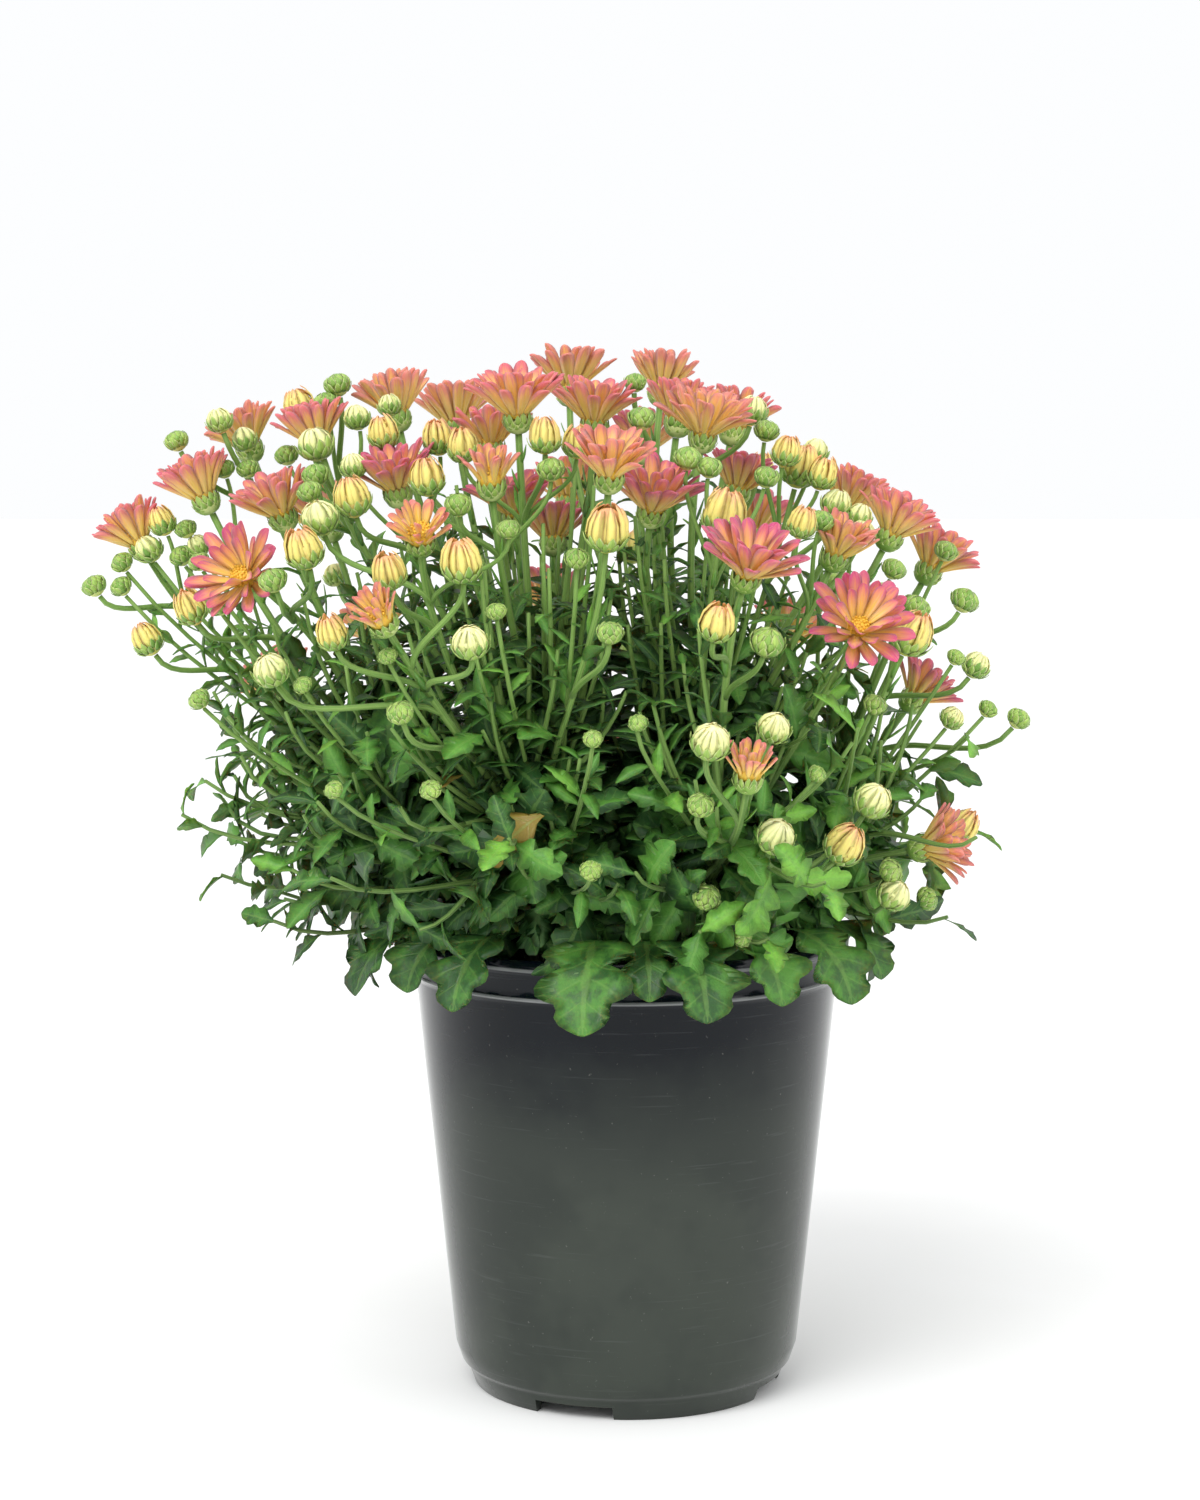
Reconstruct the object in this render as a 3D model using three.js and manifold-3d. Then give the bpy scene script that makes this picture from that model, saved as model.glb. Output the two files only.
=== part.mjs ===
// Potted chrysanthemum: a spray chrysanthemum in bloom, standing in a round black nursery pot.
// Millimetres, +Z up, the front faces -Y. The origin is on the floor, under the middle of the
// whole plant with its pot. The pot's own axis lies a little to the right of it.

import * as THREE from 'three';
import Module from 'manifold-3d';

const wasm = await Module();
wasm.setup();

// Driving dimensions of the pot
const pot = {
  sides: 28,
  height: 172,
  rimRadius: 82.5,
  floorUnder: 6,
  floorTop: 8,
  footRadius: 58,
  footInner: 53.5,
  wallTopInner: 79.4,
  notchWide: 30,
  notchHigh: 5,
  notchTurns: [-20, 70, 160, 250],
  holeRadius: 5,
  holeAt: 44,
};

// The outside of the pot from the foot ring to the rim, as [radius, height]
const potOutside = [
  [pot.footRadius, 0],
  [60.5, 7.6],
  [62.6, 9.4],
  [64.9, 16],
  [79.4, 155.6],
  [80.9, 157.4],
  [80.2, 159],
  [81.5, 166.4],
  [pot.rimRadius, 168],
  [81.7, pot.height],
];

// The inside, from the rim down to the floor
const potInside = [
  [pot.wallTopInner, pot.height],
  [78, 156],
  [63.3, 16],
  [58.6, pot.floorTop + 1],
];

// Soil, with plain holes that the main stems stand in
const soil = {
  top: 151,
  edgeTop: 148,
  moundRadius: 40,
  gap: 0.3,
  wallGap: 0.36,
  holeDeep: 24,
  holeGap: 0.65,
  holeSides: 6,
};

// Space between a bloom and its calyx, and the least space between other neighbours
const seat = 0.3;
const clear = 0.35;

// The round crown that the heads stand on: its middle and its half width, depth and height
const crown = { x: -25, z: 190, wide: 175, deep: 150, tall: 198 };

// Main stems: an outer ring that leans out, an inner ring that stands, each from its own hole
const mains = {
  outer: { count: 8, baseAt: 36, tilt: 46, firstTurn: 22.5 },
  inner: { count: 4, baseAt: 13, tilt: 16, firstTurn: 45 },
  length: 84,
  radius: 2.6,
  tipRadius: 1.9,
  sides: 4,
  steps: 5,
};

// Flower stalks, bud stalks and what they carry
const stalk = { rootRadius: 0.8, radius: 1.7, tipRadius: 1.4, sides: 3, steps: 4, branchFrom: [0.5, 0.97] };
const budStalk = {
  rootRadius: 0.5,
  radius: 1.3,
  tipRadius: 1.1,
  sides: 3,
  steps: 2,
  long: 34,
  leastDrop: 14,
  branchAt: [0.35, 0.45, 0.55, 0.65, 0.75, 0.85],
};
const calyx = { high: 5.5, radius: 5.3, sides: 6 };

// Buds by share of their radius: the ring above the stalk, the widest ring and the tip, as
// [height, radius]. An opening head is the same bud with a taller bundle of florets.
const bud = { sides: 5, low: [0.3, 0.82], wide: [1.1, 1], tip: 1.85 };
const opening = { sides: 5, low: [0.3, 0.82], wide: [1.5, 0.92], tip: 2.7 };

// Open heads: florets in a whorl, radius of the core, height of the disc, height of the middle
// above the calyx, slopes of both whorls from closed to open, and the heights they start at
const bloom = {
  petals: 8,
  core: 4.3,
  discTop: 7.4,
  rise: 5,
  outer: { slope: [66, 20], start: 1.5, long: 1 },
  inner: { slope: [80, 50], start: 4.3, long: 0.8 },
  betweenAt: 3.3,
  uneven: { long: [0.93, 1.05], slope: [-5, 5] },
};

// One floret's outline, as [share of the pitch, share of the length]: the notch before it, its tip
const bluntFloret = [[-0.5, 0.36], [-0.25, 0.93], [0.2, 1]];
const pointedFloret = [[-0.5, 0.36], [0, 1]];

// Leaves: half of the lobed outline as [share of the length, share of the length to the side]
const leafOutline = [[0.16, 0.02], [0.38, 0.33], [0.5, 0.15], [0.72, 0.31], [0.79, 0.14]];
const leaf = {
  middle: 0.55,
  thick: 1,
  baseThick: 1.4,
  longest: 42,
  shortest: 24,
  droop: 0.9,
  rimDroop: 1.5,
  fold: 0.18,
  perStem: 5,
  onMain: [0.3, 0.96],
  onStalk: [0.28, 0.5],
};

// The photograph's view of the plant, for placing the heads where they were seen
const view = { distance: 1200, height: 354.65, dip: 0.095, focal: 3207, aside: -10, column: 600, row: 750 };

// Open heads seen from the front: column, row, share of the crown's depth towards the viewer,
// width in mm, how far open from 0 to 1, and for some the way they face
const seenBlooms = [
  [135, 535, 0.25, 40, 0.5],
  [200, 488, 0.0, 42, 0.5],
  [245, 437, -0.35, 40, 0.55],
  [240, 575, 0.92, 44, 0.95, [-0.45, -0.75, 0.35]],
  [278, 505, 0.3, 42, 0.7],
  [315, 432, -0.1, 40, 0.5],
  [395, 405, -0.3, 42, 0.5],
  [395, 480, 0.6, 44, 0.7],
  [420, 530, 0.98, 30, 0.6, [0.0, -0.6, 0.8]],
  [455, 415, -0.5, 42, 0.5],
  [517, 405, 0.5, 46, 0.75],
  [515, 505, 0.15, 46, 0.75],
  [553, 530, -0.4, 40, 0.6],
  [570, 380, -0.6, 44, 0.6],
  [595, 412, 0.05, 44, 0.65],
  [490, 435, -0.15, 40, 0.6],
  [610, 465, 0.75, 42, 0.65],
  [653, 500, 0.55, 48, 0.75],
  [645, 440, -0.4, 40, 0.6],
  [663, 380, -0.9, 40, 0.55],
  [705, 425, 0.35, 46, 0.7],
  [680, 410, -0.25, 40, 0.55],
  [735, 420, -0.6, 42, 0.6],
  [750, 565, 0.85, 48, 0.85],
  [740, 480, -0.1, 40, 0.6],
  [840, 545, 0.55, 38, 0.55],
  [850, 500, -0.2, 42, 0.6],
  [895, 525, -0.1, 42, 0.6],
  [935, 560, 0.2, 42, 0.6],
  [860, 625, 0.9, 44, 0.9, [0.15, -0.75, 0.55]],
  [935, 845, 0.35, 40, 0.6, [0.95, -0.3, 0.25]],
  [750, 765, 0.95, 28, 0.3, [0.1, -0.35, 0.9]],
  [920, 690, -0.5, 38, 0.6],
  [490, 472, 0.7, 32, 0.25],
  [377, 612, 0.98, 28, 0.25, [-0.35, -0.55, 0.7]],
];

// Colour of each open head in turn, the ones on the far side last: coral, orange or magenta
const bloomTones = 'ccomccomoocmmoccommooccmmocccmoomoocomcomcomco';

// Heads just opening: column, row, share of the depth, radius of the bundle of florets
const seenHalfOpen = [
  [300, 410, 0.3, 7.5],
  [607, 530, 0.92, 8.5],
  [725, 515, 0.75, 9],
  [912, 635, 0.6, 8.5],
  [800, 468, 0.3, 8],
  [845, 845, 0.7, 8],
];

// Buds: column, row, share of the depth, radius
const seenBuds = [
  [93, 584, 0, 5.2], [176, 439, 0, 5], [219, 419, 0.1, 5.5], [337, 383, 0.2, 5.5], [315, 442, 0.7, 7.5],
  [352, 498, 0.8, 7.5], [319, 516, 0.95, 7.5], [304, 550, 0.95, 7.5], [389, 573, 0.95, 6.5],
  [272, 578, 1, 5.5], [191, 609, 0.7, 6.5], [147, 640, 0.4, 6.5], [332, 635, 1, 6], [270, 669, 1, 7],
  [400, 711, 1, 5],
  [545, 437, 0.6, 6.5], [635, 381, 0, 4.5], [427, 478, 0.8, 7], [461, 562, 1, 8], [470, 641, 1, 7],
  [610, 631, 0.95, 5], [753, 409, 0.3, 6.5], [837, 503, 0.3, 6.5], [966, 598, 0.3, 6], [916, 605, 0.5, 6],
  [717, 624, 1, 7], [768, 640, 0.95, 6.5], [977, 664, 0.2, 6], [1020, 717, 0, 5], [775, 726, 1, 6.5],
  [711, 740, 1, 7.5], [701, 804, 0.9, 5], [874, 799, 0.75, 7.5], [777, 835, 0.85, 7.5], [707, 896, 0.7, 5.5],
  [895, 893, 0.6, 7], [960, 829, 0.2, 7],
];

// The far side, which the photograph doesn't show, is filled by a rule: how many heads, the least
// distance to any other, and the part of the crown that they may stand on
const farSide = {
  blooms: { count: 11, apart: 40, radius: [20, 23] },
  buds: { count: 8, apart: 24, radius: [5, 7.5] },
  leastDeep: 25,
  mostAside: 0.68,
  rises: [0.05, 0.9],
  within: 0.93,
  open: [0.5, 0.9],
  tries: 900,
};

// Leaves that hang over the rim at the front and on the left: where the stalk crosses the rim,
// in degrees from the front towards the right, and the length of the leaf
const rimLeaves = [
  [-62, 46], [-48, 38], [-34, 44], [-8, 52], [4, 34], [14, 46], [30, 40],
  [46, 44], [62, 36], [120, 42], [170, 46], [215, 42], [255, 44],
];

// Colours
const finish = {
  pot: { color: 0x262c2c, roughness: 0.42, metalness: 0 },
  soil: { color: 0x33271d, roughness: 0.95, metalness: 0 },
  stem: { color: 0x5f8f3e, roughness: 0.7, metalness: 0 },
  o: { color: 0xee9a4e, roughness: 0.65, metalness: 0 },
  c: { color: 0xdf6f52, roughness: 0.65, metalness: 0 },
  m: { color: 0xcf4a6c, roughness: 0.65, metalness: 0 },
};

// How far heads turn up from facing straight out of the crown
const bloomLift = 0.55;
const budLift = 0.9;

const up = new THREE.Vector3(0, 0, 1);
const degrees = Math.PI / 180;
const goldenTurn = Math.PI * (3 - Math.sqrt(5));
const goldenShare = 0.618034;

// Steps that spread points evenly over a rectangle
const evenSteps = [0.7548777, 0.5698403];

// Seeded draws, the same on every run
let seed = 20871;
function draw(low, high) {
  seed = (seed * 1664525 + 1013904223) % 4294967296;
  return low + (high - low) * (seed / 4294967296);
}

function mix(a, b, share) {
  return a + (b - a) * share;
}

// The direction made of two others by their shares
function blend(a, shareOfA, b, shareOfB) {
  return a.clone().multiplyScalar(shareOfA).addScaledVector(b, shareOfB).normalize();
}

// A closed solid from points and triangles
function closedSolid(points, faces) {
  return new wasm.Manifold(new wasm.Mesh({
    numProp: 3,
    vertProperties: new Float32Array(points.flatMap((p) => [p.x, p.y, p.z])),
    triVerts: new Uint32Array(faces.flat()),
  }));
}

// A closed solid from one of three.js's geometries
function solidFrom(geometry) {
  const index = new Map();
  const points = [];
  const place = geometry.attributes.position;
  const cornerOf = (i) => {
    const key = [place.getX(i), place.getY(i), place.getZ(i)].map((v) => Math.round(v * 1e4)).join();
    if (!index.has(key)) {
      index.set(key, points.length);
      points.push(new THREE.Vector3().fromBufferAttribute(place, i));
    }
    return index.get(key);
  };
  const order = geometry.index ? Array.from(geometry.index.array) : [...Array(place.count).keys()];
  const faces = [];
  for (let i = 0; i < order.length; i += 3) {
    const face = [cornerOf(order[i]), cornerOf(order[i + 1]), cornerOf(order[i + 2])];
    if (new Set(face).size === 3) faces.push(face);
  }
  return closedSolid(points, faces);
}

// A three.js mesh from a finished solid
function meshFrom(name, solid, look) {
  const { vertProperties, triVerts } = solid.getMesh();
  const geometry = new THREE.BufferGeometry();
  geometry.setAttribute('position', new THREE.BufferAttribute(new Float32Array(vertProperties), 3));
  geometry.setIndex(new THREE.BufferAttribute(new Uint32Array(triVerts), 1));
  geometry.computeVertexNormals();
  const mesh = new THREE.Mesh(geometry, new THREE.MeshStandardMaterial(look));
  mesh.name = name;
  return mesh;
}

// Triangles between two rings of any two counts, both running counterclockwise seen from above
function zip(lower, upper, faces) {
  let i = 0;
  let j = 0;
  while (i < lower.length || j < upper.length) {
    const a = lower[i % lower.length];
    const b = upper[j % upper.length];
    const nextLower = (i + 1) / lower.length;
    const nextUpper = (j + 1) / upper.length;
    if (i < lower.length && (j >= upper.length || nextLower <= nextUpper)) {
      i += 1;
      faces.push([a, lower[i % lower.length], b]);
    } else {
      j += 1;
      faces.push([a, upper[j % upper.length], b]);
    }
  }
}

// A closed solid through a row of rings, flat at the first and flat or pointed at the last
function loft(rings) {
  const points = rings.flat();
  const faces = [];
  let first = 0;
  const numbers = rings.map((ring) => {
    first += ring.length;
    return ring.map((_, i) => first - ring.length + i);
  });
  const start = numbers[0];
  const end = numbers.at(-1);
  for (let i = 1; i + 1 < start.length; i += 1) faces.push([start[0], start[i + 1], start[i]]);
  for (let r = 1; r < numbers.length; r += 1) {
    const below = numbers[r - 1];
    const above = numbers[r];
    if (above.length > 1) {
      zip(below, above, faces);
    } else {
      below.forEach((a, i) => faces.push([a, below[(i + 1) % below.length], above[0]]));
    }
  }
  for (let i = 1; i + 1 < end.length; i += 1) faces.push([end[0], end[i], end[i + 1]]);
  return closedSolid(points, faces);
}

function ringAt(centre, across, over, radius, sides) {
  return Array.from({ length: sides }, (_, i) => {
    const turn = (2 * Math.PI * i) / sides;
    return centre.clone()
      .addScaledVector(across, radius * Math.cos(turn))
      .addScaledVector(over, radius * Math.sin(turn));
  });
}

// Rings along a curve, with the last two side directions for what the stalk carries
function stalkRings(curve, size) {
  const frames = curve.computeFrenetFrames(size.steps, false);
  const rings = frames.tangents.map((_, i) => {
    const share = i / size.steps;
    const radius = i === 0 ? size.rootRadius ?? size.radius : mix(size.radius, size.tipRadius, share);
    return ringAt(curve.getPointAt(share), frames.normals[i], frames.binormals[i], radius, size.sides);
  });
  return { rings, across: frames.normals.at(-1), over: frames.binormals.at(-1) };
}

// Pot: one moulded shell with a raised floor, foot notches and drain holes
function makePot() {
  const profile = [
    [0, pot.floorUnder],
    [pot.footInner - 1, pot.floorUnder],
    [pot.footInner, 0],
    ...potOutside,
    ...potInside,
    [0, pot.floorTop],
  ].map(([r, z]) => new THREE.Vector2(r, z));
  const shell = new THREE.LatheGeometry(profile, pot.sides).rotateX(Math.PI / 2);
  let body = solidFrom(shell);
  for (const turn of pot.notchTurns) {
    const notch = new THREE.BoxGeometry(pot.notchWide, 30, 2 * pot.notchHigh);
    notch.translate(0, -pot.footRadius, 0);
    body = body.subtract(solidFrom(notch.rotateZ(turn * degrees)));
    const hole = new THREE.CylinderGeometry(pot.holeRadius, pot.holeRadius, 20, 8).rotateX(Math.PI / 2);
    body = body.subtract(solidFrom(hole.translate(0, -pot.holeAt, pot.floorTop).rotateZ(turn * degrees)));
  }
  return body;
}

// Soil: fills the pot to a low mound, with a plain hole for each main stem
function makeSoil(stems) {
  const [, wallTop, wallFoot, floorEdge] = potInside;
  const wallAt = (z) => {
    const share = (z - wallFoot[1]) / (wallTop[1] - wallFoot[1]);
    return mix(wallFoot[0], wallTop[0], share) - soil.wallGap;
  };
  const profile = [
    [0, pot.floorTop + soil.gap],
    [floorEdge[0] - 2, floorEdge[1] + soil.gap],
    [wallAt(wallFoot[1] + 1) - 0.6, wallFoot[1] + 1],
    [wallAt(soil.edgeTop), soil.edgeTop],
    [soil.moundRadius, soil.top - 0.6],
    [0, soil.top],
  ].map(([r, z]) => new THREE.Vector2(r, z));
  let body = solidFrom(new THREE.LatheGeometry(profile, pot.sides).rotateX(Math.PI / 2));
  for (const { base } of stems) {
    const radius = mains.radius + soil.holeGap;
    const plug = new THREE.CylinderGeometry(radius, radius, 2 * soil.holeDeep, soil.holeSides);
    body = body.subtract(solidFrom(plug.rotateX(Math.PI / 2).translate(base.x, base.y, base.z)));
  }
  return body;
}

// The point seen at a column and row of the photograph, at depth y
function seenAt(column, row, y) {
  const angle = Math.atan((view.row - row) / view.focal) - view.dip;
  const z = view.height + (view.distance + y) * Math.tan(angle);
  const ahead = (view.distance + y) * Math.cos(view.dip) - (z - view.height) * Math.sin(view.dip);
  return new THREE.Vector3(view.aside + ((column - view.column) / view.focal) * ahead, y, z);
}

// The depth at which that line of sight meets the crown, times a share
function depthOf(column, row, share) {
  let y = 0;
  for (let pass = 0; pass < 4; pass += 1) {
    const at = seenAt(column, row, y);
    const left = 1 - ((at.x - crown.x) / crown.wide) ** 2 - ((at.z - crown.z) / crown.tall) ** 2;
    y = -share * crown.deep * Math.sqrt(Math.max(0, left));
  }
  return y;
}

// Heads face outwards from the crown, turned up towards the light
function facingAt(place, lift) {
  const out = new THREE.Vector3(place.x - crown.x, place.y, place.z - crown.z + 20).normalize();
  return out.addScaledVector(up, lift).normalize();
}

// All heads: open ones, ones just opening and buds
function layHeads() {
  const seen = (kind, [column, row, share]) => ({ kind, column, row, y: depthOf(column, row, share) });
  const heads = [
    ...seenBlooms.map((each) => {
      const [wide, open, face] = each.slice(3);
      return { ...seen('bloom', each), radius: wide / 2, open, face };
    }),
    ...seenHalfOpen.map((each) => ({ ...seen('opening', each), radius: each[3] })),
    ...seenBuds.map((each) => ({ ...seen('bud', each), radius: each[3] })),
  ];
  partHeads(heads);
  fillFarSide(heads, 'bloom', farSide.blooms);
  fillFarSide(heads, 'bud', farSide.buds);
  for (const head of heads) {
    const lift = head.kind === 'bloom' ? bloomLift : budLift;
    head.facing = head.face ? new THREE.Vector3(...head.face).normalize() : facingAt(head.place, lift);
  }
  return heads;
}

// Heads that would run into each other move apart along the line of sight, a little each pass
function partHeads(heads) {
  const passes = 60;
  const push = 0.3;
  const roomOf = (head) => (head.kind === 'bloom' ? head.radius * 0.9 : head.radius);
  for (let pass = 0; pass < passes; pass += 1) {
    for (const head of heads) head.place = seenAt(head.column, head.row, head.y);
    for (let i = 0; i < heads.length; i += 1) {
      for (let j = i + 1; j < heads.length; j += 1) {
        const short = roomOf(heads[i]) + roomOf(heads[j]) - heads[i].place.distanceTo(heads[j].place);
        const way = heads[i].y < heads[j].y ? -1 : 1;
        heads[i].y += way * Math.max(0, short) * push;
        heads[j].y -= way * Math.max(0, short) * push;
      }
    }
  }
}

// Points spread evenly over the crown, kept on the far side where there is room
function fillFarSide(heads, kind, rule) {
  let made = 0;
  for (let i = 0; i < farSide.tries && made < rule.count; i += 1) {
    const rise = mix(...farSide.rises, (i * evenSteps[0]) % 1);
    const turn = 2 * Math.PI * ((i * evenSteps[1]) % 1);
    const flat = Math.sqrt(1 - rise * rise) * farSide.within;
    const place = new THREE.Vector3(
      crown.x + crown.wide * flat * Math.cos(turn),
      crown.deep * flat * Math.sin(turn),
      crown.z + crown.tall * farSide.within * rise,
    );
    const aside = Math.abs(place.x - crown.x) / crown.wide;
    const hidden = place.y > farSide.leastDeep && aside < farSide.mostAside;
    if (hidden && heads.every((head) => head.place.distanceTo(place) > rule.apart)) {
      heads.push({ kind, place, radius: draw(...rule.radius), open: draw(...farSide.open) });
      made += 1;
    }
  }
}

// Open head: two whorls of florets round a low disc, made as one skin. Each whorl has a notched
// outline, and the skin runs under it from the ring below and back over it to the ring above.
function makeBloom(head) {
  const n = bloom.petals;
  const pitch = (2 * Math.PI) / n;
  const reach = head.radius - bloom.core;
  const points = [];
  const faces = [];
  const add = (turn, r, z) => {
    const angle = turn * pitch;
    return points.push(new THREE.Vector3(r * Math.cos(angle), r * Math.sin(angle), z)) - 1;
  };
  const ring = (start, r, z) => Array.from({ length: n }, (_, i) => add(i + start, r, z));
  const whorl = (size, start, base, outline) => Array.from({ length: n }, (_, i) => {
    const long = reach * size.long * draw(...bloom.uneven.long);
    const slope = (mix(...size.slope, head.open) + draw(...bloom.uneven.slope)) * degrees;
    return outline.map(([turn, share]) => add(
      i + start + turn,
      base + long * share * Math.cos(slope),
      size.start + long * share * Math.sin(slope),
    ));
  });
  const under = ring(-0.5, bloom.core, seat);
  const outer = whorl(bloom.outer, 0, bloom.core, bluntFloret);
  const between = ring(-0.5, bloom.core, bloom.betweenAt);
  const inner = whorl(bloom.inner, 0.5, bloom.core - 1, pointedFloret);
  const top = ring(0.5, bloom.core - 1.4, bloom.discTop - 1.4);
  const middle = add(0, 0, bloom.discTop);
  for (let i = 0; i < n; i += 1) {
    const next = (i + 1) % n;
    const before = (i + n - 1) % n;
    const [a, b, c] = outer[i];
    const d = outer[next][0];
    const [p, q] = inner[i];
    const r = inner[next][0];
    faces.push([under[i], b, a], [under[i], c, b], [under[i], under[next], c], [under[next], d, c]);
    faces.push([between[i], a, b], [between[i], b, c], [between[i], c, between[next]], [between[next], c, d]);
    faces.push([between[i], between[next], p], [between[next], q, p], [between[next], r, q]);
    faces.push([top[i], p, q], [top[i], q, r], [top[before], p, top[i]]);
    faces.push([top[i], top[next], middle]);
    if (i > 0 && i < n - 1) faces.push([under[0], under[next], under[i]]);
  }
  return closedSolid(points, faces);
}

// A stalk along a curve that flares into a calyx, flat on top, for an open head
function makeStalkWithCalyx(curve, facing) {
  const { rings, across, over } = stalkRings(curve, stalk);
  const top = curve.getPointAt(1).addScaledVector(facing, calyx.high);
  return loft([...rings, ringAt(top, across, over, calyx.radius, calyx.sides)]);
}

// A stalk along a curve that ends in a bud or in an opening head
function makeStalkWithBud(curve, facing, radius, shape) {
  const { rings, across, over } = stalkRings(curve, budStalk);
  const above = (height) => curve.getPointAt(1).addScaledVector(facing, radius * height);
  const cup = ([height, wide]) => ringAt(above(height), across, over, radius * wide, shape.sides);
  return loft([...rings, cup(shape.low), cup(shape.wide), [above(shape.tip)]]);
}

// A lobed leaf. The blade follows an arc that leaves the stem along one direction and droops
// away from its upper side, with its halves folded up; the outline is mirrored about the midrib.
function makeLeaf({ base, along, upper, long, droop }) {
  const left = upper.clone().cross(along).normalize();
  const over = along.clone().cross(left).normalize();
  const at = (share, side, lift) => {
    const turn = droop * share;
    const forward = (Math.sin(turn) / droop) * long + lift * Math.sin(turn);
    const down = ((1 - Math.cos(turn)) / droop) * long - lift * Math.cos(turn);
    return base.clone()
      .addScaledVector(along, forward)
      .addScaledVector(over, Math.abs(side) * leaf.fold * long - down)
      .addScaledVector(left, side * long);
  };
  const edge = [
    ...leafOutline.map(([share, side]) => at(share, -side, 0)),
    at(1, 0, 0),
    ...leafOutline.map(([share, side]) => at(share, side, 0)).reverse(),
  ];
  const count = edge.length;
  const points = [
    ...edge,
    at(0, 0, leaf.baseThick / 2),
    at(leaf.middle, 0, leaf.thick / 2),
    at(0, 0, -leaf.baseThick / 2),
    at(leaf.middle, 0, -leaf.thick / 2),
  ];
  // Each face is a fan round its own middle point, from its own root point and back to it
  const fan = (root) => {
    const around = [root, ...edge.keys(), root];
    return around.slice(1).map((next, i) => [around[i], next, root + 1]);
  };
  const faces = [
    ...fan(count),
    ...fan(count + 2).map(([a, b, c]) => [a, c, b]),
    [count, count + 2, 0],
    [count + 2, count, count - 1],
  ];
  return closedSolid(points, faces);
}

// What stands already. A new piece keeps clear of all of it but its hosts, which it grows from.
const standing = [];
const nothing = () => false;

function stand(solid, owner) {
  standing.push({ solid, owner, box: solid.boundingBox() });
}

function isClear(solid, isHost = nothing, seatedOn = null) {
  const box = solid.boundingBox();
  const isFar = (other, k) => box.min[k] > other.box.max[k] + clear || box.max[k] < other.box.min[k] - clear;
  return standing.every((other) => {
    const least = other.solid === seatedOn ? seat * 0.8 : clear;
    const apart = isFar(other, 0) || isFar(other, 1) || isFar(other, 2);
    return apart || isHost(other) || solid.minGap(other.solid, clear) >= least;
  });
}

// Grows the first of several tries that is clear of all but its host, or else of all but its stem
function grow(stem, host, tries, make, { alsoOwnStem = true, seatedOn = null } = {}) {
  const toHost = (other) => other.solid === host;
  const toOwnStem = (other) => other.owner === stem.name;
  for (const isHost of alsoOwnStem ? [toHost, toOwnStem] : [toHost]) {
    for (const each of tries) {
      const piece = make(each);
      if (isClear(piece.solid, isHost, seatedOn)) {
        stem.solids.push(piece.solid);
        stand(piece.solid, stem.name);
        return piece;
      }
    }
  }
  return null;
}

// Main stems stand in two rings, each with a direction of its own
function layStems() {
  const stems = [];
  for (const ring of [mains.outer, mains.inner]) {
    for (let i = 0; i < ring.count; i += 1) {
      const turn = (ring.firstTurn + (360 / ring.count) * i) * degrees;
      const out = new THREE.Vector3(Math.cos(turn), Math.sin(turn), 0);
      stems.push({
        name: `stem_${String(stems.length + 1).padStart(2, '0')}`,
        base: out.clone().multiplyScalar(ring.baseAt).setZ(soil.top),
        aim: out.clone().applyAxisAngle(out.clone().cross(up), (90 - ring.tilt) * degrees),
        heads: [],
        solids: [],
        stalks: [],
      });
    }
  }
  return stems;
}

// Each head belongs to the stem whose direction is nearest its own, seen from just under the soil
function shareHeads(heads, stems) {
  const root = new THREE.Vector3(0, 0, soil.top - 10);
  for (const head of heads) {
    const way = head.place.clone().sub(root).normalize();
    head.stem = stems.reduce((best, stem) => (stem.aim.dot(way) > best.aim.dot(way) ? stem : best));
    head.stem.heads.push(head);
  }
}

// Blooms come first, since their places are given
function standBloom(head, i) {
  head.name = `bloom_${String(i + 1).padStart(2, '0')}`;
  head.spin = new THREE.Quaternion().setFromAxisAngle(up, draw(0, 2 * Math.PI));
  head.shape = makeBloom(head);
  head.seatPoint = head.place.clone().addScaledVector(head.facing, -bloom.rise);
  head.turn = new THREE.Quaternion().setFromUnitVectors(up, head.facing).multiply(head.spin);
  const matrix = new THREE.Matrix4().compose(head.seatPoint, head.turn, new THREE.Vector3(1, 1, 1));
  head.solid = head.shape.transform(matrix.toArray());
  stand(head.solid, head.name);
}

// A main stem rises straight from its hole and leans towards the middle of its heads
function growMain(stem) {
  const aim = stem.aim.clone();
  for (const head of stem.heads) aim.add(head.place.clone().sub(stem.base).normalize());
  aim.normalize();
  stem.hub = stem.base.clone().addScaledVector(aim, mains.length);
  stem.curve = new THREE.CubicBezierCurve3(
    stem.base,
    stem.base.clone().addScaledVector(up, mains.length * 0.32),
    stem.hub.clone().addScaledVector(aim, -mains.length * 0.35),
    stem.hub,
  );
  const { rings } = stalkRings(stem.curve, mains);
  const foot = rings[0].map((point) => point.clone().addScaledVector(up, 2 - soil.holeDeep));
  stem.main = loft([foot, ...rings]);
  stem.solids.push(stem.main);
  stand(stem.main, stem.name);
}

// Ways round an obstacle, in mm: straight on first, then bowed further and further to eight sides
const bows = [[0, 0]];
for (const far of [7, 14, 22, 30]) {
  for (let turn = 0; turn < 360; turn += 45) {
    bows.push([far * Math.cos(turn * degrees), far * Math.sin(turn * degrees)]);
  }
}

// The middle of a lofted stalk, which runs straight from ring to ring
function onStalk(curve, steps, share) {
  const step = Math.min(steps - 1, Math.floor(share * steps));
  return curve.getPointAt(step / steps).lerp(curve.getPointAt((step + 1) / steps), share * steps - step);
}

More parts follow.
